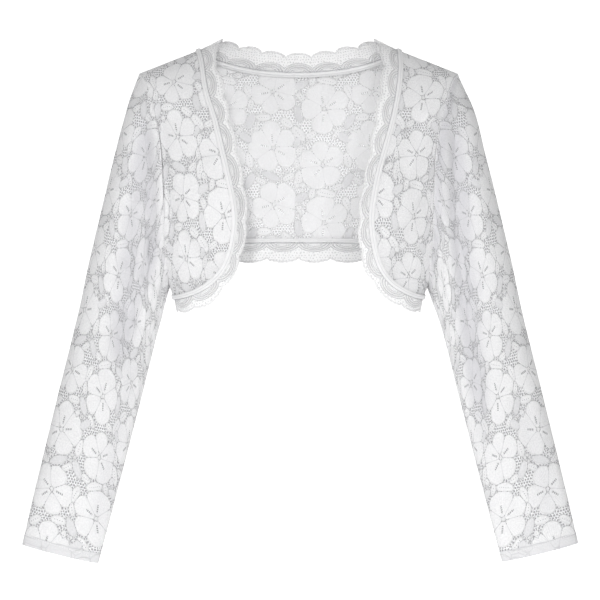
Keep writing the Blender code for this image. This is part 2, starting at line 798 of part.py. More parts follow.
def back_band(kind, body):
    """A band that runs from one side of the back to the other, through the centre back."""
    shares, edges = {}, {}
    for side in (-1, 1):
        if kind == "hem":
            shares[side], edges[side] = band_route(HEM_BAND, side, 1)
        else:
            from_shoulder, edge = neck_route(side)
            shares[side], edges[side] = 1 - from_shoulder[::-1], edge[::-1]
    share = np.concatenate([(1 - shares[-1][::-1]) / 2, 0.5 + shares[1][1:] / 2])
    edge = np.concatenate([edges[-1][::-1], edges[1][1:]])
    return BandPiece(kind + "_trim", seam_of(kind, body), share, edge, kind == "neck")


def main():
    for item in list(bpy.data.objects):
        bpy.data.objects.remove(item, do_unlink=True)
    body = body_grids()
    sleeves = []
    bands = {}
    for side in (-1, 1):
        word = SIDE_NAMES[side]
        sleeves.append(sleeve_grid(side, body["front_" + word], body["back_" + word]))
        bands["front_" + word] = front_band(side, body)
    for kind in ("neck", "hem"):
        bands[kind] = back_band(kind, body)
    trims = [band.grid for band in bands.values()]
    join_seams([*body.values(), *sleeves, *trims])
    for grid in body.values():
        add_grid(grid, CLOTH_WHITE)
    thicker = np.zeros(SLEEVE_ROWS + 3)
    thicker[-2:] = CUFF_EXTRA
    for grid in sleeves:
        add_grid(grid, CLOTH_WHITE, thicker)
    for kind, band in bands.items():
        band.follow_seam()
        add_grid(band.grid, TRIM_WHITE)
        seam = seam_of(kind, body)
        add_grid(band.tape("tape_" + kind, seam, 1), TAPE_WHITE)
        add_grid(band.tape("inner_tape_" + kind, seam, -1), TAPE_WHITE)


main()
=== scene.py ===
# %% [markdown]
# A white lace bolero, cut short and worn open. It is made of two fronts, a back in two halves and two long
# sleeves, all of one flowered lace. A scalloped band edges the fronts, the neck and the hem, and a narrow
# tape covers the seam of each band. The garment is hollow, as it is when someone wears it. This lesson opens
# the rigid model, rebuilds each cloth piece as a thin fine shell on the same surface, and then draws the
# lace on it with nodes.

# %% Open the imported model
import math
from collections import namedtuple

import bpy
import numpy as np
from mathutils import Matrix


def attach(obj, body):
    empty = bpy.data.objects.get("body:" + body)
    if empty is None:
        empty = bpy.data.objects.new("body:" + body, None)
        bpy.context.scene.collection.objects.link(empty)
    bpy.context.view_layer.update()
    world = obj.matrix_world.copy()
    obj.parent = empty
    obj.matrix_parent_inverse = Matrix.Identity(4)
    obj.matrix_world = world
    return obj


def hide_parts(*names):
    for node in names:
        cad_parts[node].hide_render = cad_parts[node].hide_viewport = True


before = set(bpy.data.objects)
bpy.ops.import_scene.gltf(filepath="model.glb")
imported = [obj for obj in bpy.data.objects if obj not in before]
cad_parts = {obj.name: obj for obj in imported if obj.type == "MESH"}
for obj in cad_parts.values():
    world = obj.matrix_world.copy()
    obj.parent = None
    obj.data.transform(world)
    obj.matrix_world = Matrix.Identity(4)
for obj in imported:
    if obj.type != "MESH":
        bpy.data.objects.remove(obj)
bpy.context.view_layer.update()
MM = 0.001

# %% [markdown]
# The picture was taken from straight in front, from far enough away that both sleeves show the same width.
# A long lens at 2.4 m does that. The lens follows from the width that has to fit in the square frame, so the
# two numbers to change are the distance and that width.

# %% Camera
CAMERA_DISTANCE = 2.4
FRAME_WIDTH = 0.732
CAMERA_SIDE = 1.8 * MM
CAMERA_HEIGHT = -0.317


def add_object(name, data):
    made = bpy.data.objects.new(name, data)
    bpy.context.scene.collection.objects.link(made)
    return made


lens_data = bpy.data.cameras.new("camera")
lens_data.lens = lens_data.sensor_width * CAMERA_DISTANCE / FRAME_WIDTH
camera = add_object("camera", lens_data)
camera.location = (CAMERA_SIDE, -CAMERA_DISTANCE, CAMERA_HEIGHT)
camera.rotation_euler = (math.radians(90), 0, 0)
bpy.context.scene.camera = camera
print("lens", round(lens_data.lens, 1), "mm")

# %% [markdown]
# White cloth on a white ground needs a ground as white as paper in the sun. The ground is a sheet of pale
# paper that lies flat and curves up far behind, so no corner shows. It glows a little, so that it stays white
# where the lamps reach it less. It ends far enough behind to leave room for a look at the back.

# %% Backdrop
PAPER_FLOOR = -1.0
PAPER_FRONT, PAPER_BACK = -1.0, 4.4
PAPER_HALF = 4.5
PAPER_BEND = 0.6
BEND_STEPS = 16
PAPER_WHITE = (0.93, 0.93, 0.93)
PAPER_GLOW = 0.74


def paint(name, colour, **settings):
    """A material. Its other settings are named as the shader's sockets are, with _ for a space."""
    made = bpy.data.materials.new(name)
    made.use_nodes = True
    sockets = made.node_tree.nodes["Principled BSDF"].inputs
    sockets["Base Color"].default_value = (*colour, 1)
    for word, value in settings.items():
        sockets[word.replace("_", " ")].default_value = value
    return made


def backdrop():
    profile = [(PAPER_FRONT, PAPER_FLOOR)]
    for step in range(BEND_STEPS + 1):
        turn = step / BEND_STEPS * math.pi / 2
        y = PAPER_BACK - PAPER_BEND + PAPER_BEND * math.sin(turn)
        profile.append((y, PAPER_FLOOR + PAPER_BEND * (1 - math.cos(turn))))
    profile.append((PAPER_BACK, PAPER_HALF))
    corners = [(side * PAPER_HALF, y, z) for y, z in profile for side in (-1, 1)]
    faces = [(2 * k, 2 * k + 1, 2 * k + 3, 2 * k + 2) for k in range(len(profile) - 1)]
    mesh = bpy.data.meshes.new("backdrop")
    mesh.from_pydata(corners, [], faces)
    mesh.materials.append(paint("pale_paper", PAPER_WHITE, Roughness=0.9, Emission_Strength=PAPER_GLOW))
    mesh.shade_smooth()
    add_object("backdrop", mesh)
    print("paper sweep of", len(faces), "faces")


backdrop()

# %% [markdown]
# A large soft lamp in front lights the cloth evenly. A small one, just left of the camera, throws the narrow
# shade that each front band leaves on the inside of the back. A weaker lamp at the upper left picks out folds
# and raised petals. The room adds a weak grey from all round.

# %% Lights
def table(names, *rows):
    """Rows of values whose columns have names."""
    row_kind = namedtuple("Row", names)
    return [row_kind(*row) for row in rows]


LAMPS = table(
    "name place aim size power",
    ("front_light", (0.35, -2.7, 0.75), (0.0, 0.0, -0.15), 1.0, 28),
    ("flash", (-0.15, -2.7, 0.2), (0.0, 0.0, -0.25), 0.16, 22),
    ("key_light", (-2.0, -1.7, 1.2), (0.0, 0.0, -0.15), 0.8, 10.5),
)
ROOM_GREY = (0.95, 0.95, 0.95, 1)
ROOM_STRENGTH = 0.17

for row in LAMPS:
    data = bpy.data.lights.new(row.name, "AREA")
    data.size = row.size
    data.energy = row.power
    lamp = add_object(row.name, data)
    lamp.location = row.place
    way = [to - at for to, at in zip(row.aim, row.place)]
    tilt = math.atan2(math.hypot(way[0], way[1]), -way[2])
    lamp.rotation_euler = (tilt, 0, math.atan2(way[1], way[0]) - math.pi / 2)
bpy.context.scene.view_settings.view_transform = "Standard"
room = bpy.data.worlds.new("room")
room.use_nodes = True
sky = room.node_tree.nodes["Background"].inputs
sky["Color"].default_value = ROOM_GREY
sky["Strength"].default_value = ROOM_STRENGTH
bpy.context.scene.world = room
print(len(LAMPS), "lamps")

# %% [markdown]
# The cloth pieces are cut on a body shape. Seen from above, the body is a row of rings, rounder than an
# ellipse, and tables give each ring's half width and depth at a drop below the shoulder line. The same tables
# shaped the rigid model, so the fine shells made here lie exactly on it. Their numbers are millimetres.

# %% Rings of the body
# The shoulder line is level with the origin at SHOULDER_START, and falls evenly to the shoulder point.
SHOULDER_START = 88 * MM
SHOULDER_HALF = 193 * MM
SHOULDER_DROP = 41.5 * MM
SHOULDER_SLOPE = SHOULDER_DROP / (SHOULDER_HALF - SHOULDER_START)
ROUNDNESS = 2.3  # 2 would be an ellipse

# Beside the armhole the rings run on, past the cloth, so that the shoulder stays one smooth dome.
WIDTHS = table(
    "drop half_width",
    (41.5, 193), (48, 206), (58, 216), (72, 220), (90, 217), (115, 209), (151, 197.5), (200, 184.5),
    (244, 173.5), (285, 161), (299, 157), (314, 151.5), (333, 147.5), (350, 146.5),
)
DEPTHS = table(
    "drop front back",
    (-10, 16, 24), (12, 32, 42), (37, 50, 62), (67, 69, 79), (100, 84, 92), (150, 97, 98),
    (190, 101, 97), (230, 97, 92), (270, 88, 86), (313, 79, 80), (350, 75, 76),
)


def smooth(at, knots, values):
    """A smooth curve through values at knots; values may have several columns."""
    knots, values, at = (np.asarray(numbers, float) for numbers in (knots, values, at))
    slopes = np.gradient(values, knots, axis=0)
    lower = np.clip(np.searchsorted(knots, at, side="right") - 1, 0, len(knots) - 2)
    width = knots[lower + 1] - knots[lower]
    share = np.clip((at - knots[lower]) / width, 0, 1)
    if values.ndim > 1:
        width, share = width[..., None], share[..., None]
    rise = values[lower + 1] - values[lower]
    start = share * (1 - share) ** 2 * width * slopes[lower]
    end = share * share * (1 - share) * width * slopes[lower + 1]
    return values[lower] + rise * step_up(share) + start - end


def step_up(share):
    """0 below 0, 1 above 1, and an even curve between."""
    share = np.clip(share, 0, 1)
    return share * share * (3 - 2 * share)


def column(rows, name):
    return [getattr(row, name) for row in rows]


def read(rows, at, name):
    """A column of a table, read off between its rows. Metres in and out; the first column is the place."""
    return smooth(at / MM, [row[0] for row in rows], column(rows, name)) * MM


def half_width(drop):
    """Half the width of the ring at this drop: above the shoulder point it is the shoulder line."""
    below_point = read(WIDTHS, drop, "half_width")
    return np.where(drop < SHOULDER_DROP, SHOULDER_START + drop / SHOULDER_SLOPE, below_point)


def ring_depth(drop, face):
    return read(DEPTHS, drop, "front" if face < 0 else "back")


def ring_place(turn, drop, face):
    """How far out and how far to the front or back a point of the plain ring lies."""
    quarter = np.clip(turn, 0, 1) * math.pi / 2
    out = half_width(drop) * np.sin(quarter) ** (2 / ROUNDNESS)
    ahead = ring_depth(drop, face) * np.clip(np.cos(quarter), 0, 1) ** (2 / ROUNDNESS)
    return out, ahead


print(len(WIDTHS), "rings for the width,", len(DEPTHS), "for the depth")

# %% [markdown]
# Worn lace is never quite smooth. Wide soft folds run down beside the armholes, and the rigid model has them
# too. Small creases cross them and run towards the hem. Every fold is a trough, or with a negative depth a
# ridge, between two points of the front view. It fades in over a part of its length at both ends, and the
# folds of both kinds are placed one by one.

# %% Folds of the body
# side is -1 for the wearer's right and 1 for the left, face is -1 for the front and 1 for the back
FOLD_COLUMNS = "side face x_from drop_from x_to drop_to half_width depth"
FOLD_FADE = 0.3
SIDE_FADE = 3
BODY_FOLDS = table(
    FOLD_COLUMNS,
    (-1, -1, 156, 205, 112, 288, 13, 5.0),
    (-1, -1, 150, 92, 108, 150, 15, 3.5),
    (1, -1, 158, 188, 118, 292, 14, 4.5),
    (1, -1, 148, 100, 120, 168, 13, 3.0),
    (-1, 1, 60, 70, 48, 225, 16, 4.0),
    (1, 1, 72, 88, 52, 232, 14, 4.5),
    (1, 1, 152, 190, 104, 262, 14, 4.0),
    (-1, 1, 150, 178, 98, 250, 13, 3.5),
)
BODY_CREASES = table(
    FOLD_COLUMNS,
    (-1, -1, 164, 84, 150, 262, 8, 2.6),
    (1, -1, 166, 96, 152, 270, 8, 1.5),
    (-1, -1, 158, 120, 128, 168, 6, 1.2),
    (-1, -1, 152, 160, 120, 210, 7, -1.0),
    (-1, -1, 138, 248, 96, 285, 6, 1.1),
    (-1, -1, 120, 60, 104, 118, 7, 0.9),
    (1, -1, 156, 138, 130, 196, 7, 1.2),
    (1, -1, 140, 200, 104, 240, 6, -0.9),
    (1, -1, 148, 262, 108, 288, 7, 1.1),
    (1, -1, 126, 66, 112, 128, 6, -0.8),
    (-1, 1, 26, 60, 20, 190, 8, 0.8),
    (1, 1, 28, 110, 18, 226, 7, 0.9),
    (-1, 1, 130, 90, 90, 150, 8, 1.3),
    (1, 1, 126, 96, 96, 172, 9, -1.0),
    (-1, 1, 148, 240, 86, 262, 7, 1.1),
    (1, 1, 120, 236, 70, 250, 6, 0.9),
)


def trough(row, share, aside):
    """Depth of one fold at a share of its length and a distance from its line."""
    ends = step_up(share / FOLD_FADE + 0.5) * step_up((1 - share) / FOLD_FADE + 0.5)
    return row.depth * MM * ends * np.exp(-((aside / (row.half_width * MM)) ** 2))


def body_sunk(rows, x, drop, side, face):
    """How far the folds in these rows push the cloth of this half in, towards the wearer."""
    deep = np.zeros(np.broadcast(x, drop).shape)
    for row in rows:
        if (row.side, row.face) != (side, face):
            continue
        start = np.array([row.x_from, row.drop_from]) * MM
        way = np.array([row.x_to, row.drop_to]) * MM - start
        share = ((x - start[0]) * way[0] + (drop - start[1]) * way[1]) / (way @ way)
        aside = ((x - start[0]) * way[1] - (drop - start[1]) * way[0]) / np.linalg.norm(way)
        deep = deep + trough(row, share, aside)
    return deep


def side_fade(turn):
    """Folds fade out close to the side seam."""
    return step_up(SIDE_FADE * np.cos(turn * math.pi / 2))


def torso_point(turn, drop, side, face):
    """A point of the worn body: turn is 0 at its centre line and 1 at its side."""
    x, y = ring_place(turn, drop, face)
    y = y - body_sunk(BODY_FOLDS, x, drop, side, face) * side_fade(turn)
    return np.stack([side * x, face * y, -drop], axis=-1)


print(len(BODY_FOLDS), "folds and", len(BODY_CREASES), "creases on the body")

# %% [markdown]
# A place on the body is written as its turn round the ring and its drop. To lay cloth evenly, a place also
# needs a distance round the body. Its reach, which is how far out it lies plus how far round to the side, is
# close to that distance and easy to turn back into a place by halving the span that holds it.

# %% Distances round the body
HALVINGS = 40
PROBE = 0.5 * MM
TINY = 1e-12


def unit(vectors):
    return vectors / np.maximum(np.linalg.norm(vectors, axis=-1, keepdims=True), TINY)


def reach(turn, drop, face):
    out, ahead = ring_place(turn, drop, face)
    return out + ring_depth(drop, face) - ahead


def turn_of_reach(wanted, drop, face):
    low, high = np.zeros_like(wanted), np.ones_like(wanted)
    for _ in range(HALVINGS):
        middle = (low + high) / 2
        short = reach(middle, drop, face) < wanted
        low, high = np.where(short, middle, low), np.where(short, high, middle)
    return (low + high) / 2


def torso_normals(places, side, face):
    """Outward directions of the body, from four points close round each place."""
    turn, drop = places[..., 0], places[..., 1]
    here = reach(turn, drop, face)
    near = []
    for out, down in ((-PROBE, 0), (PROBE, 0), (0, -PROBE), (0, PROBE)):
        near.append(torso_point(turn_of_reach(here + out, drop + down, face), drop + down, side, face))
    return side * face * unit(np.cross(near[1] - near[0], near[3] - near[2]))


print("reach of the side seam in front", round(float(reach(1.0, 0.2, -1)), 3), "m")

# %% [markdown]
# All pieces meet at seams. The seams are curves of the front view, read off the photograph as a few points
# each: the armhole down to the side seam, the edge of each front with its band, the hem of the back and the
# neck. Because a panel, a sleeve and a band take their edge from the same curve, they fit with no gap.

# %% Seam tables
ARMHOLE = table(
    "seam_x seam_drop",
    (194, 41.5), (186, 50), (179.5, 66), (173, 88), (166.5, 115), (162.5, 151),
    (161, 200), (161, 244), (159, 272), (157.5, 289), (158, 299),
)

# The bands: seam and free edge, from the shoulder seam down the front and round to the side seam, and how far
# the edge turns in. The hem runs from the centre back to the side seam, the neck from the shoulder to the
# centre back.
BAND_COLUMNS = "seam_x seam_drop edge_x edge_drop turn_in"
FRONT_BANDS = {
    -1: table(
        BAND_COLUMNS,
        (122, 13, 92, -2, 0),
        (117, 31, 99, 25, 2),
        (113, 55, 90, 53, 2),
        (109, 74, 85, 74, 3),
        (99, 105, 80, 101, 5),
        (90, 141, 71, 137, 7),
        (83, 171, 65, 168, 9),
        (76, 205, 60, 203, 12),
        (75, 228, 60, 231, 13),
        (79, 254, 65, 259, 13),
        (87, 276, 74, 284, 12),
        (101, 293, 89, 306, 10),
        (117, 304, 109, 325, 7),
        (136, 311, 132, 332, 3),
        (153, 314, 148, 333, 0),
    ),
    1: table(
        BAND_COLUMNS,
        (122, 13, 92, -2, 0),
        (122.5, 38, 99, 29, 2),
        (119.5, 67, 96, 63, 2),
        (112, 103, 89, 101, 4),
        (103, 136, 84, 135, 7),
        (95, 165, 78, 166, 9),
        (88.5, 196, 72, 198, 11),
        (86, 223, 70, 226, 12),
        (89, 250, 71, 254, 11),
        (96, 275, 78, 282, 10),
        (109, 294, 93, 305, 8),
        (125, 305, 115, 324, 5),
        (139, 311, 134, 331, 2),
        (153, 314, 148, 333, 0),
    ),
}
HEM_BAND = table(
    BAND_COLUMNS,
    (0, 242, 0, 271, 2),
    (40, 242, 40, 271, 2),
    (75, 243.5, 73, 272, 2),
    (101, 252, 96, 280, 3),
    (122, 268, 115, 295, 3),
    (138, 289, 133, 313, 2),
    (147, 304, 143, 326, 1),
    (153, 314, 148, 333, 0),
)
NECK_BAND = table(
    "seam_x seam_drop edge_x edge_y edge_drop",
    (122, 13, 92, 0, -2),
    (109, 19, 82, 22, -1),
    (88, 25.5, 66, 38, 1),
    (62, 31, 46, 47, 3),
    (30, 34.5, 23, 53, 7),
    (0, 35.5, 0, 54, 8),
)
print("seam points for the fronts:", [len(rows) for rows in FRONT_BANDS.values()])

# %% [markdown]
# A table holds only a few points of a seam. A smooth curve runs through them, and it is laid on the body by
# turning each x of the front view into a turn round the ring. Pieces then take even steps along its length,
# so the points of two pieces that share a seam meet.

# %% Curves on the body
CURVE_POINTS = 600


def lengths_along(points):
    steps = np.linalg.norm(np.diff(points, axis=0), axis=1)
    return np.concatenate([[0], np.cumsum(steps)])


def sample(shares, at, values):
    """values, known at rising shares, read off at other shares."""
    return np.stack([np.interp(at, shares, values[:, k]) for k in range(values.shape[1])], axis=1)


def dense(rows, *names):
    """The named columns of a table, as a smooth curve of many points in metres."""
    values = np.stack([column(rows, name) for name in names], axis=1)
    return smooth(np.linspace(0, len(rows) - 1, CURVE_POINTS), np.arange(len(rows)), values) * MM


def seam_line(rows, side, face):
    """A seam from a table: its shares of length, and its turns and drops."""
    x, drop = dense(rows, "seam_x", "seam_drop").T
    turn = np.arcsin(np.clip(x / half_width(drop), 0, 1) ** (ROUNDNESS / 2)) * 2 / math.pi
    lengths = lengths_along(torso_point(turn, drop, side, face))
    return lengths / lengths[-1], np.stack([turn, drop], axis=1)


def seam_places(rows, side, face, start, end, steps):
    """Turns and drops at even steps from one share of a seam's length to another."""
    shares, places = seam_line(rows, side, face)
    return sample(shares, np.linspace(start, end, steps + 1), places)


print("armhole ends at a drop of", round(seam_places(ARMHOLE, 1, -1, 1, 1, 0)[0, 1], 3), "m")

# %% [markdown]
# Each front and each half of the back fills the space between four seams: shoulder, armhole with side, hem,
# and front edge or centre back. Rows and columns of points are laid between those seams, a few millimetres
# apart, which is fine enough for soft folds. Every panel also knows how far along the flat cloth each of its
# points lies, because the lace is drawn in flat cloth and not in space.

# %% Front and back panels
# The neck point and the shoulder point, the ends of the shoulder seam, as turn and drop
NECK_POINT = (1.0, 13 * MM)
SHOULDER_POINT = (1.0, SHOULDER_DROP)
COLUMN_STEPS = 5
FRONT_STEPS = 8 * COLUMN_STEPS
NECK_STEPS = 6 * COLUMN_STEPS
SHOULDER_STEPS = 4 * COLUMN_STEPS
ARMHOLE_PARTS = 13
ROW_STEPS = 9
ARMHOLE_STEPS = ARMHOLE_PARTS * ROW_STEPS
PANEL_STEPS = ARMHOLE_STEPS + ROW_STEPS
FRONT_CORNER = 14 / 22  # share of the front's seam above its rounded corner
PROFILE = np.linspace(-15, 350, 731) * MM  # every half millimetre down the body


def flat_drop(drop, face):
    """Distance along the cloth from the shoulder line down to this drop, at the centre of the body."""
    return np.interp(drop, PROFILE, lengths_along(np.stack([PROFILE, ring_depth(PROFILE, face)], axis=1)))


def patch(top, bottom, left, right, face):
    """Turns and drops filled in between four sides that share their corners."""
    sides = []
    for side in (top, bottom, left, right):
        sides.append(np.stack([reach(side[:, 0], side[:, 1], face), side[:, 1]], axis=1))
    upper, lower, inner, outer = sides
    down = np.linspace(0, 1, len(left))[:, None, None]
    across = np.linspace(0, 1, len(top))[None, :, None]
    rows = (1 - across) * inner[:, None] + across * outer[:, None]
    upper_bend = upper - ((1 - across) * upper[0] + across * upper[-1])
    lower_bend = lower - ((1 - across) * lower[0] + across * lower[-1])
    filled = rows + (1 - down) * upper_bend + down * lower_bend
    filled[..., 0] = turn_of_reach(filled[..., 0], filled[..., 1], face)
    filled[0], filled[-1], filled[:, 0], filled[:, -1] = top, bottom, left, right
    return filled


def outer_side():
    """Down the armhole, then down the side seam to its foot."""
    arm = seam_places(ARMHOLE, 1, -1, 0, 1, ARMHOLE_STEPS)
    drops = np.linspace(arm[-1, 1], FRONT_BANDS[1][-1].seam_drop * MM, ROW_STEPS + 1)[1:]
    return np.concatenate([arm, np.stack([np.ones(len(drops)), drops], axis=1)])


def front_places(side):
    """Rows run down, columns from the front edge to the side seam."""
    rows = FRONT_BANDS[side]
    edge = seam_places(rows, side, -1, 0, FRONT_CORNER, PANEL_STEPS)
    hem = seam_places(rows, side, -1, FRONT_CORNER, 1, FRONT_STEPS)
    shoulder = np.linspace(NECK_POINT, SHOULDER_POINT, FRONT_STEPS + 1)
    return patch(shoulder, hem, edge, outer_side(), -1)


def back_places(side):
    """Rows run down, columns from the centre back to the side seam."""
    neck = seam_places(NECK_BAND, side, 1, 1, 0, NECK_STEPS)
    shoulder = np.linspace(NECK_POINT, SHOULDER_POINT, SHOULDER_STEPS + 1)
    hem = seam_places(HEM_BAND, side, 1, 0, 1, NECK_STEPS + SHOULDER_STEPS)
    centre = np.linspace((0.0, neck[0, 1]), (0.0, hem[0, 1]), PANEL_STEPS + 1)
    return patch(np.concatenate([neck, shoulder[1:]]), hem, centre, outer_side(), 1)


print("points of a front panel", front_places(1).shape[:2])

# %% [markdown]
# A grid of points has no thickness. To make a wall of it, each point is moved half the wall out and half in
# along its outward direction, and a rim of faces joins the two sides, so every piece is one closed solid. Its
# faces are smooth, but the rim stays sharp.

# %% Walls from grids
SHELL_WALL = 0.9 * MM
SHARP_ANGLE = math.radians(50)


def surface_normals(points, closed=False):
    down = np.gradient(points, axis=0)
    if closed:
        across = (np.roll(points, -1, axis=1) - np.roll(points, 1, axis=1)) / 2
    else:
        across = np.gradient(points, axis=1)
    return unit(np.cross(across, down))


def wall_faces(rows, columns, closed):
    """Faces of both sides and of the rim. The second side's points are numbered after the first's."""
    number = np.arange(rows * columns).reshape(rows, columns)
    if closed:
        number = np.concatenate([number, number[:, :1]], axis=1)
    cells = np.stack([number[:-1, :-1], number[1:, :-1], number[1:, 1:], number[:-1, 1:]], axis=-1)
    cells = cells.reshape(-1, 4)
    faces = [cells, cells[:, ::-1] + rows * columns]
    borders = [number[0], number[-1, ::-1]]
    if not closed:
        borders += [number[::-1, 0], number[:, -1]]
    for border in borders:
        behind = border + rows * columns
        faces.append(np.stack([border[:-1], border[1:], behind[1:], behind[:-1]], axis=1))
    return np.concatenate(faces)


def signed_volume(mesh):
    mesh.calc_loop_triangles()
    points = np.empty(len(mesh.vertices) * 3)
    mesh.vertices.foreach_get("co", points)
    corners = np.empty(len(mesh.loop_triangles) * 3, int)
    mesh.loop_triangles.foreach_get("vertices", corners)
    return np.linalg.det(points.reshape(-1, 3)[corners.reshape(-1, 3)]).sum()


def shell(name, points, normals, wall, closed=False):
    """A thin closed wall round a grid of points."""
    rows, columns = points.shape[:2]
    half = normals * (np.broadcast_to(wall, (rows, columns)) / 2)[..., None]
    corners = np.concatenate([(points + half).reshape(-1, 3), (points - half).reshape(-1, 3)])
    mesh = bpy.data.meshes.new(name)
    mesh.from_pydata(corners.tolist(), [], wall_faces(rows, columns, closed).tolist())
    if signed_volume(mesh) < 0:
        mesh.flip_normals()
    mesh.shade_smooth()
    mesh.set_sharp_from_angle(angle=SHARP_ANGLE)
    return add_object(name, mesh)


print("shell walls of", SHELL_WALL / MM, "mm")

# %% [markdown]
# The lace is drawn by the material, which only knows what the mesh tells it. Both sides of a wall remember
# where they lie in flat cloth, as a UV map in metres. Other numbers, such as which side is the wrong side of
# the cloth, are stored as named attributes.

# %% What the mesh tells the material
FLAT_MAP = "flat_cloth"


def add_layer(piece, name, domain, values):
    """Stores one number, or one row of three, for every point or every face corner of a piece."""
    kind, word = ("FLOAT", "value") if values.ndim == 1 else ("FLOAT_VECTOR", "vector")
    layer = piece.data.attributes.new(name, kind, domain)
    layer.data.foreach_set(word, values.astype(np.float32).ravel())


def mark_points(piece, name, outer, inner):
    """Gives the outer and the inner side of a shell their own values."""
    half = len(piece.data.vertices) // 2
    sides = [np.broadcast_to(np.ravel(values), half) for values in (outer, inner)]
    add_layer(piece, name, "POINT", np.concatenate(sides))


def spread_flat(piece, along, across):
    """Gives both sides of a shell the same place in flat cloth, from one pair of values per grid point."""
    mesh = piece.data
    corner = np.empty(len(mesh.loops), int)
    mesh.loops.foreach_get("vertex_index", corner)
    flat = np.stack([np.ravel(along), np.ravel(across)], axis=1)
    layer = mesh.uv_layers.new(name=FLAT_MAP)
    layer.data.foreach_set("uv", np.concatenate([flat, flat])[corner].astype(np.float32).ravel())


print("flat places are in the map", FLAT_MAP)

# %% [markdown]
# A sleeve is a tube that starts from the armhole seam, which it shares with the panels, and runs down to the
# cuff. Its rings are flattened ovals on a straight axis that leans outwards. An angle says where a point lies
# round the ring: 0 faces out, 90 degrees faces front and 180 faces the body.

# %% Rings of the sleeve
SLEEVE_LEAN = math.radians(13.8)
SLEEVE_ROUNDNESS = 2.2
AXIS_START = {-1: 145.5 * MM, 1: 150 * MM}
SLEEVE_LENGTH = {-1: 600 * MM, 1: 598 * MM}
SLEEVE_RINGS = table(
    "along half_width half_depth forward",
    (-10, 45, 42, 0),
    (40, 50.5, 54, 0),
    (75, 52, 60, 0),
    (110, 52.2, 62, 0),
    (160, 52, 58, 0),
    (206, 51.8, 51.5, 0),
    (253, 51.4, 46, 0),
    (295, 49.8, 41.5, 1),
    (400, 49.1, 34, 6),
    (500, 48.4, 25, 12),
    (560, 47.8, 18, 15),
    (600, 46.8, 14, 17),
)


def sleeve_frame(side, along):
    """The axis point and the outward direction across the sleeve at a distance along it."""
    x = AXIS_START[side] + along * math.sin(SLEEVE_LEAN)
    z = -SHOULDER_DROP - along * math.cos(SLEEVE_LEAN)
    out = np.array([side * math.cos(SLEEVE_LEAN), 0, math.sin(SLEEVE_LEAN)])
    return np.stack([side * x, -read(SLEEVE_RINGS, along, "forward"), z], axis=-1), out


def ring_sizes(along):
    return read(SLEEVE_RINGS, along, "half_width"), read(SLEEVE_RINGS, along, "half_depth")


def power(value, exponent):
    return np.sign(value) * np.abs(value) ** exponent


def ring_offsets(along, angle):
    """How far out across the sleeve and how far to the front a point lies from the axis."""
    wide, deep = ring_sizes(along)
    across = wide * power(np.cos(angle), 2 / SLEEVE_ROUNDNESS)
    return across, deep * power(np.sin(angle), 2 / SLEEVE_ROUNDNESS)


def sleeve_surface(side, along, angle):
    """A point of the plain sleeve."""
    centre, out = sleeve_frame(side, along)
    across, ahead = ring_offsets(along, angle)
    return centre + across[..., None] * out + ahead[..., None] * np.array([0, -1, 0])


def even_ring(along, count):
    """Angles that part the ring at this place into equal lengths, from the body's side round the front."""
    angles = np.linspace(math.pi, -math.pi, CURVE_POINTS)
    lengths = lengths_along(np.stack(ring_offsets(np.array(along), angles), axis=1))
    return np.interp(np.arange(count) / count * lengths[-1], lengths, angles)


print(len(SLEEVE_RINGS), "rings of the sleeve")

# %% [markdown]
# A worn sleeve folds most beside the armhole and inside the elbow. Its long wide folds run down the sleeve
# and are in the rigid model too. Its creases are smaller and may run across it, so for those the nearest
# point of each crease is found both along the sleeve and round it.

# %% Folds of the sleeves
ARM_COLUMNS = "side along_from along_to angle_from angle_to half_width depth"
ARM_FOLDS = table(
    ARM_COLUMNS,
    (-1, 60, 350, 66, 104, 15, 7.0),
    (-1, 330, 560, 132, 140, 14, 3.5),
    (-1, 90, 330, -70, -110, 15, 6.0),
    (-1, 380, 550, -80, -60, 14, 3.0),
    (1, 50, 440, 62, 134, 15, 7.0),
    (1, 400, 570, 70, 60, 14, 3.0),
    (1, 100, 350, -60, -115, 15, 6.0),
    (1, 390, 560, -105, -90, 14, 3.5),
)
ARM_CREASES = table(
    ARM_COLUMNS,
    (-1, 60, 235, 70, 124, 11, 8.0),
    (-1, 190, 350, 124, 106, 10, 5.0),
    (1, 60, 400, 72, 140, 9, 5.0),
    (-1, 95, 130, 60, 150, 6, 1.3),
    (-1, 150, 205, 50, 140, 7, -1.2),
    (-1, 232, 268, 70, 170, 6, 1.6),
    (-1, 262, 300, 60, 150, 6, -1.4),
    (-1, 292, 322, 80, 175, 6, 1.5),
    (-1, 330, 395, 45, 120, 7, 1.2),
    (-1, 410, 520, 20, 60, 8, -1.0),
    (-1, 470, 575, 95, 80, 6, 1.1),
    (-1, 60, 140, 10, 30, 8, 0.9),
    (-1, 180, 300, -30, -10, 9, 0.9),
    (-1, 240, 285, -170, -80, 7, 1.4),
    (-1, 290, 330, -175, -95, 7, -1.1),
    (-1, 420, 560, -130, -110, 7, 1.0),
    (1, 80, 128, 70, 155, 7, 1.2),
    (1, 140, 190, 55, 130, 6, 1.3),
    (1, 226, 262, 80, 170, 6, -1.4),
    (1, 256, 296, 65, 150, 7, 1.6),
    (1, 300, 335, 75, 172, 6, 1.3),
    (1, 344, 420, 40, 110, 7, -1.1),
    (1, 430, 540, 25, 50, 8, 1.1),
    (1, 480, 570, 120, 100, 6, 1.0),
    (1, 70, 160, -5, 25, 9, 0.9),
    (1, 170, 290, -25, -40, 8, -0.9),
    (1, 236, 280, -165, -85, 7, 1.3),
    (1, 286, 322, -170, -90, 6, 1.2),
    (1, 400, 540, -140, -120, 8, -1.0),
)


def wrapped(angle):
    """An angle brought to within half a turn of 0."""
    return np.mod(angle + math.pi, 2 * math.pi) - math.pi


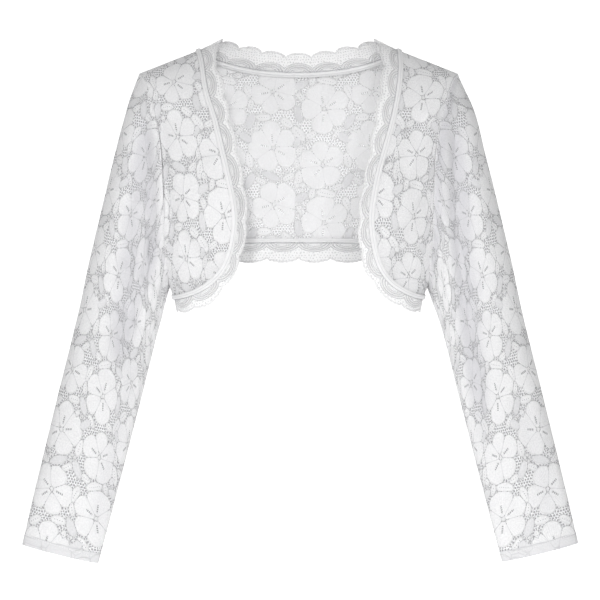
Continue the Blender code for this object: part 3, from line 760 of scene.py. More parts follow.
def arm_sunk(side, along, angle):
    """How far the folds and creases of this sleeve push its cloth in."""
    size = np.add(*ring_sizes(along)) / 2
    deep = np.zeros_like(along)
    for row in ARM_FOLDS:
        if row.side == side:
            share = (along / MM - row.along_from) / (row.along_to - row.along_from)
            middle = np.radians(row.angle_from + (row.angle_to - row.angle_from) * share)
            deep = deep + trough(row, share, wrapped(angle - middle) * size)
    for row in ARM_CREASES:
        if row.side == side:
            middle = math.radians(row.angle_from + row.angle_to) / 2
            round_by = math.radians(row.angle_to - row.angle_from) / 2 * size
            down_by = (row.along_to - row.along_from) / 2 * MM
            across = wrapped(angle - middle) * size
            down = along - (row.along_to + row.along_from) / 2 * MM
            share = (across * round_by + down * down_by) / (round_by**2 + down_by**2)
            aside = (across * down_by - down * round_by) / np.hypot(round_by, down_by)
            deep = deep + trough(row, (share + 1) / 2, aside)
    return deep


print(len(ARM_FOLDS), "folds and", len(ARM_CREASES), "creases on the sleeves")

# %% [markdown]
# Near the armhole the sleeve's rings follow the seam, and further down they turn into even ovals. The seam
# does not lie on the plain tube, so the difference is added to the first rings and fades out below. Beside
# the seam the photographed cloth lies in its own shade, so the lace there gets painted shade, as if it lay
# deep in a fold.

# %% Sleeve tube
ROUND_STEPS = 6
ROW_LENGTH = 2.2 * MM
CAP_BLEND = 60 * MM
TURN_BLEND = 200 * MM
# painted shade beside the armhole seam, counted as a fold depth for each sleeve
CAP_SHADE_AT = 6 * MM
CAP_SHADE_HALF = 6 * MM
CAP_SHADE_DEPTH = {-1: 2.5 * MM, 1: 8.5 * MM}


def armhole_ring(side):
    """The armhole seam as a closed ring: up the front from the underarm, then down the back."""
    turn, drop = seam_places(ARMHOLE, 1, -1, 0, 1, ARMHOLE_PARTS * ROUND_STEPS).T
    front, back = torso_point(turn, drop, side, -1), torso_point(turn, drop, side, 1)
    return np.concatenate([front[::-1], back[1:-1]])


def seam_angles(side, ring):
    """For the points of the armhole seam, how far along the sleeve they lie and at which angle."""
    top, out = sleeve_frame(side, np.array(0.0))
    starts = (ring - top) @ np.array([side * math.sin(SLEEVE_LEAN), 0, -math.cos(SLEEVE_LEAN)])
    centres, _ = sleeve_frame(side, starts)
    wide, deep = ring_sizes(starts)
    across, ahead = (ring - centres) @ out / wide, -(ring - centres)[:, 1] / deep
    angles = np.arctan2(power(ahead, SLEEVE_ROUNDNESS / 2), power(across, SLEEVE_ROUNDNESS / 2))
    angles[0] = math.pi
    return starts, np.concatenate([[math.pi], np.minimum.accumulate(np.unwrap(angles[1:]))])


def cap_shade(side, points, ring, angle):
    """How much painted shade the cloth gets in the hollow beside the seam, on the front and the back, as a
    fold depth.
    """
    apart = np.linalg.norm(points[:, None, :] - ring[None, :, :], axis=-1).min(axis=1)
    hollow = np.exp(-(((apart - CAP_SHADE_AT) / CAP_SHADE_HALF) ** 2))
    return CAP_SHADE_DEPTH[side] * hollow * np.abs(np.sin(angle))


def sleeve_points(side):
    """Rows of rings from the armhole to the cuff, how far along each point lies, and its fold depth with the
    painted shade beside the seam added.
    """
    ring = armhole_ring(side)
    starts, angles = seam_angles(side, ring)
    off_tube = ring - sleeve_surface(side, starts, angles)
    length = SLEEVE_LENGTH[side]
    points, alongs, fold_shade_depths = [], [], []
    for share in np.linspace(0, 1, round(length / ROW_LENGTH) + 1):
        along = starts + (length - starts) * share
        mix = step_up((along - starts) / TURN_BLEND)
        angle = angles * (1 - mix) + even_ring(float(np.mean(along)), len(ring)) * mix
        free = step_up((along - starts) / CAP_BLEND)
        sunk = arm_sunk(side, along, angle) * free
        point = sleeve_surface(side, along, angle)
        point = point - unit(point - sleeve_frame(side, along)[0]) * sunk[:, None]
        points.append(point + off_tube * (1 - free)[:, None])
        alongs.append(along)
        # painted fold shade comes from the fold depth plus the painted shade beside the seam
        fold_shade_depths.append(sunk + cap_shade(side, point, ring, angle))
    return np.array(points), np.array(alongs), np.array(fold_shade_depths)


print("points round the armhole", len(armhole_ring(1)))

# %% [markdown]
# A scalloped band edges the fronts, the neck and the back hem. It starts at the seam and ends in round lobes
# of about four centimetres, and the lobes end in small loops called picots. The band is a strip between the
# seam and the free edge, with the lobes and picots cut out of its width, so its outline is real and not only
# drawn.

# %% Scalloped bands
SCALLOP = 39 * MM
SCALLOP_SHARE = 0.2
SCALLOP_ROUNDNESS = 0.55
SCALLOP_START = 0.5
PICOT = 5.6 * MM
PICOT_DEPTH = 1.3 * MM
PICOT_ROUNDNESS = 0.7
BAND_WALL = 1.0 * MM
BAND_STEP = 1.0 * MM
BAND_ROWS = 22


def arches(share, roundness):
    """1 at the middle of each repeat and 0 between two repeats."""
    return np.abs(np.sin(math.pi * share)) ** roundness


def edge_route(kind, rows, side, face):
    """The free edge of a band as a curve in space."""
    if kind == "neck":
        return dense(rows, "edge_x", "edge_y", "edge_drop") * np.array([side, 1, -1])
    edge_x, edge_drop, turn_in = dense(rows, "edge_x", "edge_drop", "turn_in").T
    share = np.clip(edge_x / half_width(edge_drop), 0, 1)
    depth = ring_depth(edge_drop, face) * (1 - share**ROUNDNESS) ** (1 / ROUNDNESS) - turn_in
    return np.stack([side * edge_x, face * np.maximum(depth, 0), -edge_drop], axis=1)


def half_lines(kind, side):
    """Matching points of a band's seam and free edge, and the body's outward direction at the seam."""
    rows = {"front": FRONT_BANDS[side], "neck": NECK_BAND, "hem": HEM_BAND}[kind]
    face = -1 if kind == "front" else 1
    even = np.linspace(0, 1, CURVE_POINTS)
    shares, places = seam_line(rows, side, face)
    places = sample(shares, even, places)
    seam = torso_point(places[:, 0], places[:, 1], side, face)
    edge = sample(shares, even, edge_route(kind, rows, side, face))
    return seam, edge, torso_normals(places, side, face)


def band_lines(kind, side):
    """The same for a whole band; the neck and hem bands run from the right side to the left."""
    if kind == "front":
        return half_lines(kind, side)
    joined = []
    for right, left in zip(half_lines(kind, -1), half_lines(kind, 1)):
        if kind == "neck":
            right, left = right[::-1], left[::-1]
        joined.append(np.concatenate([right[::-1], left[1:]]))
    return joined


def even_lines(lines, step):
    """Matching lines at even steps along the first one, and how far along it each step lies."""
    lengths = lengths_along(lines[0])
    at = np.linspace(0, lengths[-1], round(lengths[-1] / step) + 1)
    return [sample(lengths, at, line) for line in lines], at


def band_points(kind, side):
    """Grid of a band from its seam to its picots, with its places in flat cloth and the scallops' count."""
    (root, tip, _), along = even_lines(band_lines(kind, side), BAND_STEP)
    lobe = SCALLOP_START + along / along[-1] * round(along[-1] / SCALLOP)
    width = np.linalg.norm(tip - root, axis=1)
    cut = 1 - SCALLOP_SHARE * (1 - arches(lobe, SCALLOP_ROUNDNESS))
    picot = PICOT_DEPTH * (1 - arches(along / along[-1] * round(along[-1] / PICOT), PICOT_ROUNDNESS))
    share = np.linspace(0, 1, BAND_ROWS + 1)[:, None] * (cut - picot / width)[None]
    points = root[None] + (tip - root)[None] * share[..., None]
    across = share * width[None]
    return points, np.broadcast_to(along, across.shape), across, np.broadcast_to(lobe, across.shape)


print("points of the neck band", band_points("neck", 0)[0].shape[:2])

# %% [markdown]
# A narrow tape, five millimetres wide, is stitched over the seam of every band, on the outside and on the
# inside. It bends with the seam, so it is a strip of seven points across: three on the cloth, one over the
# seam and three on the band, a little raised in the middle as a real folded tape is.

# %% Tapes
TAPE_HALF = 2.6 * MM
TAPE_WALL = 1.0 * MM
TAPE_STEP = 2.5 * MM
TAPE_SHARES = np.array([-1, -0.8, -0.4, 0, 0.4, 0.8, 1])
TAPE_ROUND = 0.45 * MM
TAPE_RISE = 1.95 * MM  # half the rigid model's cloth, the gap over it and half the tape
TAPE_END_GAP = {1: 0.5 * MM, -1: 1.8 * MM}
MOST_MITRE = 2.6


def dots(first, second):
    return np.sum(first * second, axis=1, keepdims=True)


def tape_points(kind, side, outside):
    """The strip's grid, how far along its columns lie and the outward direction at its middle."""
    (seam, edge, normals), at = even_lines(band_lines(kind, side), TAPE_STEP)
    along = unit(np.gradient(seam, axis=0))
    on_band = unit(edge - seam)
    on_band = unit(on_band - dots(on_band, along) * along)
    on_cloth = unit(np.cross(normals, along))
    on_cloth = on_cloth * -np.sign(np.sum(on_cloth * on_band))
    band_normals = unit(np.cross(on_band, along))
    band_normals = band_normals * np.sign(dots(band_normals, normals))
    common = unit(normals + band_normals)
    fit = np.maximum(dots(common, normals), 1 / MOST_MITRE)
    rows = []
    for share in TAPE_SHARES:
        rise = outside * (TAPE_RISE + TAPE_ROUND * (1 - share**2))
        if share < 0:
            rows.append(seam + on_cloth * -share * TAPE_HALF + normals * rise)
        elif share > 0:
            rows.append(seam + on_band * share * TAPE_HALF + band_normals * rise)
        else:
            rows.append(seam + common * rise / fit)
    gap = TAPE_END_GAP[outside]
    kept = (at > gap) & (at < at[-1] - gap)
    return np.array(rows)[:, kept], at[kept], (common * outside)[kept]


print("points of the neck tape", tape_points("neck", 0, 1)[0].shape[:2])

# %% [markdown]
# The lace repeats. One repeat, about thirteen by fifteen centimetres, holds four open five-petalled flowers
# with leaves and small blossoms between them. It is charted like a knitting chart: each row of the
# tables below says where one motif sits, which way it points and how big it is. Every motif is a plain oval
# or egg, so the distance from any thread to the nearest outline is a short formula.

# %% Chart of one lace repeat
REPEAT = np.array([130.0, 146.0])
PLAIN, SLIT, LEAF, MESH = 0.0, 1.0, 2.0, 3.0
FLOWERS = table(
    "x y turn size",
    (33, 37, 12, 1.09), (98, 60, -58, 1.03), (31, 110, 142, 1.04), (97, 132, 78, 1.09),
)
PETALS = table(
    "turn inset length width kind",
    (90, 1.5, 30, 36, SLIT),
    (18, 1.5, 31, 24, SLIT),
    (-44, 4.0, 26, 23, PLAIN),
    (-108, 2.0, 29, 27, SLIT),
    (168, 1.5, 27, 26, PLAIN),
)
LEAVES = table(
    "x y turn length width kind",
    (67, 20, 62, 24, 12, MESH), (65, 60, 118, 23, 12, LEAF), (1, 68, 24, 25, 12, MESH),
    (36, 74, -12, 28, 12, LEAF), (65, 90, 56, 25, 12, MESH), (130, 92, 80, 25, 12, LEAF),
    (94, 96, -22, 27, 11, MESH), (65, 116, 104, 22, 12, LEAF), (0, 4, 130, 26, 13, LEAF),
    (60, 145, -30, 27, 12, MESH), (84, 25, 4, 21, 11, LEAF), (130, 30, 100, 24, 12, MESH),
    (128, 140, 66, 20, 10, MESH), (115, 18, 146, 20, 11, LEAF), (17, 74, 76, 16, 9, LEAF),
    (80, 90, 152, 17, 9, LEAF), (52, 82, 20, 17, 9, LEAF), (50, 4, 48, 19, 9, LEAF),
    (76, 7, 100, 16, 9, LEAF), (117, 95, 30, 18, 9, LEAF), (1, 128, 84, 17, 9, LEAF),
    (3, 52, 118, 18, 9, LEAF), (128, 112, 96, 17, 9, LEAF), (68, 42, 76, 17, 9, LEAF),
    (3, 86, 150, 17, 9, LEAF), (16, 2, 30, 18, 9, LEAF),
)
BLOSSOMS = table(
    "x y turn size",
    (66, 4, 20, 5.0), (112, 100, 35, 4.6), (74, 102, 10, 4.6), (8, 140, 40, 4.6), (128, 60, 15, 4.4),
)
FLOWER_HEART = 3.6
PETAL_EGG = 0.22
BLOSSOM_LOBES = 5
LOBE_OUT, LOBE_HALF_LENGTH, LOBE_HALF_WIDTH = 0.72, 0.62, 0.45


def around(middle, turn, out):
    return middle.x + out * math.cos(turn), middle.y + out * math.sin(turn)


def charted_motifs():
    """Every oval of one repeat: place, turn, half length, half width, egg shape and kind."""
    rows = []
    for flower in FLOWERS:
        for petal in PETALS:
            turn = math.radians(flower.turn + petal.turn)
            out = (petal.inset + petal.length / 2) * flower.size
            half = (petal.length / 2 * flower.size, petal.width / 2 * flower.size)
            rows.append((*around(flower, turn, out), turn, *half, PETAL_EGG, petal.kind))
        rows.append((flower.x, flower.y, 0, FLOWER_HEART, FLOWER_HEART, 0, PLAIN))
    for leaf in LEAVES:
        rows.append((leaf.x, leaf.y, math.radians(leaf.turn), leaf.length / 2, leaf.width / 2, 0, leaf.kind))
    for blossom in BLOSSOMS:
        for lobe in range(BLOSSOM_LOBES):
            turn = math.radians(blossom.turn + 360 / BLOSSOM_LOBES * lobe)
            half = (blossom.size * LOBE_HALF_LENGTH, blossom.size * LOBE_HALF_WIDTH)
            rows.append((*around(blossom, turn, blossom.size * LOBE_OUT), turn, *half, 0, PLAIN))
    return np.array(rows)


PLACE = slice(0, 2)
TURN, HALF_LENGTH, HALF_WIDTH, EGG, KIND = range(2, 7)
MOTIFS = charted_motifs()
print(len(MOTIFS), "ovals in one repeat")

# %% [markdown]
# From its middle a motif is an oval that lies along x, so a place in flat cloth is first moved and turned to
# suit the nearest copy of the motif. Its distance from the outline is then positive outside and negative
# inside, and exact enough close to the line, where the threads are.

# %% Distance from a place to each outline
LEAST_WIDTH = 0.5
LEAST_SLOPE = 1e-6


def motif_places(flat, motif, copy):
    """Places in flat cloth, in mm, as seen from the middle of a motif with its long way along x."""
    away = flat - motif[..., PLACE] - copy * REPEAT
    turn = motif[..., TURN]
    along = away[..., 0] * np.cos(turn) + away[..., 1] * np.sin(turn)
    aside = away[..., 1] * np.cos(turn) - away[..., 0] * np.sin(turn)
    return along, aside


def outline_distance(along, aside, motif):
    """Signed distance in mm to an egg's outline, negative inside."""
    half_length, half_width = motif[..., HALF_LENGTH], motif[..., HALF_WIDTH]
    width = half_width * np.maximum(1 + motif[..., EGG] * along / half_length, LEAST_WIDTH)
    near = np.hypot(along / half_length, aside / width)
    slope = np.hypot(along / half_length**2, aside / width**2)
    return near * (near - 1) / np.maximum(slope, LEAST_SLOPE)


def round_motif(along, aside, motif):
    return np.arctan2(aside / motif[..., HALF_WIDTH], along / motif[..., HALF_LENGTH])


def nearest_copy(flat, motif):
    return np.round((flat - motif[..., PLACE]) / REPEAT)


def nearest_two(flat):
    """Numbers of the two motifs nearest to each place in flat cloth."""
    best = np.full((2, len(flat)), np.inf)
    which = np.zeros((2, len(flat)), int)
    for number, motif in enumerate(MOTIFS):
        distance = outline_distance(*motif_places(flat, motif, nearest_copy(flat, motif)), motif)
        first = distance < best[0]
        second = ~first & (distance < best[1])
        for known, new in ((best, distance), (which, number)):
            known[1] = np.where(first, known[0], np.where(second, new, known[1]))
            known[0] = np.where(first, new, known[0])
    return which


print("distances are in mm, negative inside an outline")

# %% [markdown]
# For each face of a shell, the two nearest motifs are looked up in the chart. Each corner of the face is told
# how far it is from their outlines and how far round them it lies, counted in pinholes. A shader can draw
# with those numbers, and it needs no picture.

# %% Chart on a piece
PINHOLE_PITCH = 3.3


def chart_on(piece):
    """Writes on each corner of the mesh its place by the nearest two motifs of its own face."""
    mesh = piece.data
    flat = np.empty(len(mesh.loops) * 2, np.float32)
    mesh.uv_layers[FLAT_MAP].data.foreach_get("uv", flat)
    flat = flat.reshape(-1, 2) / MM
    sizes = np.empty(len(mesh.polygons), int)
    mesh.polygons.foreach_get("loop_total", sizes)
    face = np.repeat(np.arange(len(sizes)), sizes)
    starts = np.concatenate([[0], np.cumsum(sizes)[:-1]])
    middle = np.add.reduceat(flat, starts, axis=0) / sizes[:, None]
    for name, number in zip(("near_motif", "next_motif"), nearest_two(middle)):
        motif = MOTIFS[number]
        copy = nearest_copy(middle, motif)
        middle_turn = round_motif(*motif_places(middle, motif, copy), motif)[face]
        motif = motif[face]
        along, aside = motif_places(flat, motif, copy[face])
        turn = middle_turn + wrapped(round_motif(along, aside, motif) - middle_turn)
        pinholes = np.round(math.pi * (motif[:, HALF_LENGTH] + motif[:, HALF_WIDTH]) / PINHOLE_PITCH)
        distance = outline_distance(along, aside, motif)
        values = np.stack([distance, turn / (2 * math.pi) * pinholes, motif[:, KIND]], axis=1)
        add_layer(piece, name, "CORNER", values)
        if name == "near_motif":
            add_layer(piece, "motif_place", "CORNER", np.stack([along, aside, motif[:, HALF_LENGTH]], axis=1))


print("pinholes every", PINHOLE_PITCH, "mm")

# %% [markdown]
# The shader turns those distances into thread and hole. To write its sums as plain sums, a Value stands for a
# number that differs from point to point, and adding or multiplying Values makes the Math nodes for it.

# %% Numbers that nodes work out
def add_node(tree, kind, inputs=(), **settings):
    """A node with its settings, and its inputs set to values or linked to other nodes."""
    node = tree.nodes.new(kind)
    for name, value in settings.items():
        setattr(node, name, value)
    for name, value in dict(inputs).items():
        plug(node.inputs[name], value)
    return node


def plug(socket, value):
    value = getattr(value, "socket", value)
    if isinstance(value, bpy.types.NodeSocket):
        socket.id_data.links.new(value, socket)
    else:
        socket.default_value = value


class Value:
    """A number that differs from point to point, as a node's output."""

    def __init__(self, socket):
        self.socket = socket

    def __add__(self, other):
        return maths("ADD", self, other)

    def __sub__(self, other):
        return maths("SUBTRACT", self, other)

    def __rsub__(self, other):
        return maths("SUBTRACT", other, self)

    def __mul__(self, other):
        return maths("MULTIPLY", self, other)

    def __truediv__(self, number):
        return self * (1 / number)

    def __abs__(self):
        return maths("ABSOLUTE", self)


def tree_of(values):
    return next(value.socket.id_data for value in values if isinstance(value, Value))


def maths(operation, *values):
    node = add_node(tree_of(values), "ShaderNodeMath", enumerate(values), operation=operation)
    return Value(node.outputs[0])


print("a Value takes + - * / and abs()")

# %% [markdown]
# A few sums come back again and again in lace: the nearer of two distances, the place within a repeat, and a
# soft step that is 1 on one side of a limit and 0 on the other. A line of thread is a step on both sides.

# %% Steps, ridges and repeats
def lowest(first, second):
    return maths("MINIMUM", first, second)


def highest(first, *others):
    for other in others:
        first = maths("MAXIMUM", first, other)
    return first


def length_of(first, second):
    return maths("SQRT", first * first + second * second)


def to_middle(value):
    """How far a repeating value is from the middle of its repeat, from -0.5 to 0.5."""
    return maths("FRACT", value) - 0.5


def below(value, limit, soft):
    """1 where value is under limit, 0 above it, with a soft step between."""
    inputs = enumerate((value, limit - soft, limit + soft, 1.0, 0.0))
    node = add_node(tree_of([value]), "ShaderNodeMapRange", inputs, interpolation_type="SMOOTHSTEP")
    return Value(node.outputs[0])


def above(value, limit, soft):
    return 1.0 - below(value, limit, soft)


def ridge(value, middle, half, soft):
    """1 on a line where value equals middle, falling to 0 half away."""
    return below(abs(value - middle), half, soft)


print("steps are ready")

# %% [markdown]
# A material starts from what the mesh knows, which is the place in flat cloth and the named attributes. It
# ends in the same sockets each time: colour, relief and, where there are holes, how much shows through.

# %% Start and end of a material
def attribute(tree, name):
    return Value(add_node(tree, "ShaderNodeAttribute", attribute_name=name).outputs["Fac"])


def three_parts(tree, vector):
    return [Value(part) for part in add_node(tree, "ShaderNodeSeparateXYZ", {0: vector}).outputs]


def parts_of(tree, name):
    return three_parts(tree, add_node(tree, "ShaderNodeAttribute", attribute_name=name).outputs["Vector"])


def flat_places(tree):
    """Place in flat cloth in millimetres, as x, y and the whole vector."""
    places = add_node(tree, "ShaderNodeUVMap", uv_map=FLAT_MAP).outputs[0]
    scale = add_node(tree, "ShaderNodeMapping", {"Vector": places, "Scale": (1000, 1000, 1000)})
    x, y, _ = three_parts(tree, scale.outputs[0])
    return x, y, scale.outputs[0]


def speckle(flat, size, detail=1.0):
    """Smooth noise from 0 to 1 whose lumps are about this many millimetres wide."""
    inputs = {"Vector": flat, "Scale": 1 / size, "Detail": detail}
    return Value(add_node(flat.id_data, "ShaderNodeTexNoise", inputs).outputs["Fac"])


def uneven(flat, size, detail, depth):
    """Noise about 0, to move or to widen things by up to half of depth."""
    return (speckle(flat, size, detail) - 0.5) * depth


def colour_mix(share, first, second):
    colours = [(*value, 1) if isinstance(value, tuple) else value for value in (first, second)]
    inputs = {"Factor": share, "A": colours[0], "B": colours[1]}
    return add_node(tree_of([share]), "ShaderNodeMix", inputs, data_type="RGBA").outputs["Result"]


def connect(made, colour, height, relief, alpha=1.0):
    """Links a material's colour, the height of its threads and how solid it is."""
    tree = made.node_tree
    bump = add_node(tree, "ShaderNodeBump", {"Strength": 1.0, "Distance": relief, "Height": height})
    sockets = tree.nodes["Principled BSDF"].inputs
    plug(sockets["Normal"], bump.outputs[0])
    plug(sockets["Base Color"], colour)
    plug(sockets["Alpha"], alpha)
    print(made.name, len(tree.nodes), "nodes")


# %% [markdown]
# Inside an outline the cloth is solid satin. Just outside runs a line of pinholes that makes every petal
# stand clear of the next. Further out is an open net of small hexagons. A few petals also carry a ladder,
# which is a slit crossed by thin bars, and leaves have a vein of pinholes. Each function below gives 1 in its
# holes and 0 elsewhere.

# %% Holes of the lace
NET_PITCH = 3.9
PINHOLE_OUT = 0.9
SOFT = 0.10
LADDER_LENGTH, LADDER_WIDTH, LADDER_BAR = 5.0, 1.2, 2.6
LADDER_PLACE, LADDER_GAP = 0.38, 0.33
VEIN_SHARE, VEIN_HOLE = 0.6, 0.5
PARTING_DEPTH, PARTING_HOLE = 2.6, 0.55


def is_kind(kind, wanted):
    return ridge(kind, wanted, 0.4, 0.05)


def net_holes(x, y, size):
    """Two interleaved lattices make a hexagon net; the nearer centre counts."""
    row = NET_PITCH * math.sqrt(3)
    away = []
    for shift in (0.0, 0.5):
        across = to_middle(x / NET_PITCH + shift) * NET_PITCH
        away.append(length_of(across, to_middle(y / row + shift) * row))
    return below(lowest(*away), size, SOFT)


def ladder(along, aside, half, kind):
    """A slit near the flower's heart, parted by thin bars."""
    slit = ridge(along + half * LADDER_PLACE, 0.0, LADDER_LENGTH, 0.3) * ridge(aside, 0.0, LADDER_WIDTH, 0.15)
    gaps = ridge(to_middle(along / LADDER_BAR), 0.0, LADDER_GAP, 0.05)
    return slit * gaps * is_kind(kind, SLIT)


def pinhole_row(along, aside, hole):
    return below(length_of(to_middle(along / PINHOLE_PITCH) * PINHOLE_PITCH, aside), hole, SOFT)


def leaf_vein(along, aside, half, kind):
    """A short line of pinholes down the middle of a leaf."""
    inner = below(abs(along), half * VEIN_SHARE, 0.3)
    return pinhole_row(along, aside, VEIN_HOLE) * inner * is_kind(kind, LEAF)


def petal_parting(own, other, along):
    """Pinholes between two petals that touch, where both outlines are close."""
    shallow = below(own * -1.0, PARTING_DEPTH, 0.3)
    return pinhole_row(along, (other - own) * 0.5, PARTING_HOLE) * shallow * below(own, 0.3, 0.2)


print("net with a hole every", NET_PITCH, "mm")

# %% [markdown]
# Holes let part of the background through, so the light and the far side show faintly in them, as they do in
# fine net, and the rest of each hole is painted shade grey. The rest of the look is painted shade: a thin
# grey line round each motif and between touching petals, a greyer tone deep in folds, and a thin grey line
# along the top of the turned-up cuff. A little mottling is the thread's own uneven tone. The pattern is
# fainter on the wrong side and where the cuff is turned up, and the cuff is a little greyer. Light also goes
# a short way through the thread, which keeps the shaded inside of the back light.

# %% Lace material
THREAD_WHITE = (0.88, 0.88, 0.885)
MESH_WHITE = (0.79, 0.79, 0.80)
SHADE_AND_MOTTLE_GREY = (0.54, 0.54, 0.56)
# painted shade colour for cloth that lies deep in a fold
PAINTED_FOLD_GREY = (0.60, 0.595, 0.63)
CLOTH = {
    "Sheen_Weight": 0.12,
    "Subsurface_Weight": 0.4,
    "Subsurface_Radius": (1, 1, 1),
    "Subsurface_Scale": 0.8 * MM,
    "Specular_IOR_Level": 0.3,
}
HOLE_DEPTH = 0.48
NET_HOLE, PINHOLE_RADIUS, HOLE_CHANGE = 1.2, 0.85, 0.55
NET_START = 1.9
EDGE_WAVE = 2.4
RELIEF = 0.9 * MM
MOTTLE_SIZE, MOTTLE_START, MOTTLE_DEPTH = 2.2, 0.36, 1.0
OUTLINE_SHADE, PARTING_SHADE = 0.5, 0.6
CORD_AT, OUTLINE_AT = -0.75, 0.3
FAN_HEART, RIBS, RIB_HEIGHT = 1.5, 70.0, 0.05
RAISED_HEIGHT, CORD_HEIGHT, THREAD_HEIGHT, LUMP_HEIGHT = 0.55, 0.35, 0.16, 0.5
WRONG_SIDE_FADE, DOUBLED_FADE = 0.6, 0.25
# painted shade along the top edge of the turned-up cuff
TURNED_EDGE_SHADE = 2.6


def lace_material():
    made = paint("flowered_lace", THREAD_WHITE, Roughness=0.62, **CLOTH)
    tree = made.node_tree
    x, y, flat = flat_places(tree)
    own, own_round, kind = parts_of(tree, "near_motif")
    other, other_round, _ = parts_of(tree, "next_motif")
    along, aside, half = parts_of(tree, "motif_place")
    doubled, wrong_side = attribute(tree, "doubled"), attribute(tree, "wrong_side")

    # How far from the nearest outline, and how far round it
    distance = lowest(own, other) + uneven(flat, 5.0, 1.0, EDGE_WAVE)
    own_nearer = below(own - other, 0.0, 0.02)
    round_at = own_round * own_nearer + other_round * (1.0 - own_nearer)

    # Where there are holes
    hole_change = uneven(flat, 5.0, 2.0, HOLE_CHANGE)
    from_pinhole = length_of(to_middle(round_at) * PINHOLE_PITCH, distance - PINHOLE_OUT)
    rim = below(from_pinhole, hole_change + PINHOLE_RADIUS, SOFT)
    net = net_holes(x, y, hole_change + NET_HOLE) * above(distance, NET_START, 0.15)
    motif_holes = highest(ladder(along, aside, half, kind), leaf_vein(along, aside, half, kind))
    holes = highest(rim, net, petal_parting(own, other, along), motif_holes) * (1.0 - doubled)

    # How high the threads stand
    raised = below(distance, -0.1, 0.9)
    cord = ridge(distance, CORD_AT, 0.5, 0.35)
    ribs = maths("SINE", maths("ARCTAN2", aside, along + half * FAN_HEART) * RIBS) * raised
    threads = speckle(flat, 0.7, 2.0) * THREAD_HEIGHT + speckle(flat, 9.0) * LUMP_HEIGHT
    height = raised * RAISED_HEIGHT + cord * CORD_HEIGHT + ribs * RIB_HEIGHT + threads

    # How dark each place is, with painted shade and the thread's mottling
    # painted shade: a thin grey line just outside each outline, and between touching petals
    outline = ridge(distance, OUTLINE_AT, 0.35, 0.3) * OUTLINE_SHADE
    parting = ridge(other - own, 0.0, 1.1, 0.6) * PARTING_SHADE
    mottle = (speckle(flat, MOTTLE_SIZE, 3.0) - MOTTLE_START) * MOTTLE_DEPTH
    # painted shade and mottling are fainter on the wrong side and on the turned-up cuff
    fade = highest(wrong_side * WRONG_SIDE_FADE, doubled * DOUBLED_FADE)
    # each hole is partly filled with painted shade grey; mottle is the thread's own uneven tone
    dark = highest(outline, parting, holes, mottle) * (1.0 - fade)
    # painted shade: a thin grey line along the top edge of the turned-up cuff
    dark = highest(dark, doubled * (1.0 - doubled) * TURNED_EDGE_SHADE)
    meshed = is_kind(kind, MESH) * raised
    cloth = colour_mix(highest(meshed, doubled), THREAD_WHITE, MESH_WHITE)
    # painted fold shade: the cloth is greyer where it lies deep in a fold or beside the armhole seam
    cloth = colour_mix(attribute(tree, "fold"), cloth, PAINTED_FOLD_GREY)
    connect(made, colour_mix(dark, cloth, SHADE_AND_MOTTLE_GREY), height, RELIEF, 1.0 - holes * HOLE_DEPTH)
    return made


lace = lace_material()

# %% [markdown]
# The band is a denser lace than the cloth. In each scallop a few raised cords bulge towards the free edge
# like nested arches, with a leaf under the innermost one, rows of eyelets outside the outermost one and a
# firm cord along the picots. All of it is drawn from two lengths, which are how far a point is from the
# middle of its scallop and how far it is from the seam.

# %% Trim material
TRIM_WHITE = (0.94, 0.94, 0.945)
# painted shade colour for the band's grooves, holes and lines
TRIM_PAINTED_GREY = (0.50, 0.50, 0.52)
ARCH_HALF, ARCH_HEIGHT = 19.0, 12.0
ARCH_FIRST, ARCH_LAST, ARCH_STEP = 0.6, 1.24, 0.2
ARCH_DOTS, ARCH_DOT_PITCH, ARCH_DOT = 8.0, 2.6, 0.42
LEAF_UP, LEAF_HALF, LEAF_HEIGHT = 5.6, 6.6, 1.9
EYELET_PITCH, EYELET_ROW = 4.0, 3.44
EYELET_RADIUS, EYELET_CHANGE = 0.85, 0.5
EYELET_SWAY = 5.0
EYELET_DEPTH, TRIM_HOLE_DEPTH = 0.65, 0.2
EDGE_CORD_AT, EDGE_CORD_END = 1.3, 2.6
UNDER_TAPE = 3.2
# where the painted shadow of the tape's edge lies on the band, in mm from the seam
TAPE_SHADOW = TAPE_HALF / MM + 0.7
TRIM_RELIEF = 1.0 * MM


def eyelet_rows(x, y, flat):
    """Staggered rows of small holes that sway a little and differ in size."""
    x = x + uneven(flat, 5.0, 1.0, EYELET_SWAY)
    y = y + uneven(flat, 7.0, 1.0, EYELET_SWAY)
    across = to_middle(x / EYELET_PITCH + maths("FLOOR", y / EYELET_ROW) * 0.5) * EYELET_PITCH
    away = length_of(across, to_middle(y / EYELET_ROW) * EYELET_ROW)
    return below(away, uneven(flat, 4.0, 2.0, EYELET_CHANGE) + EYELET_RADIUS, SOFT)


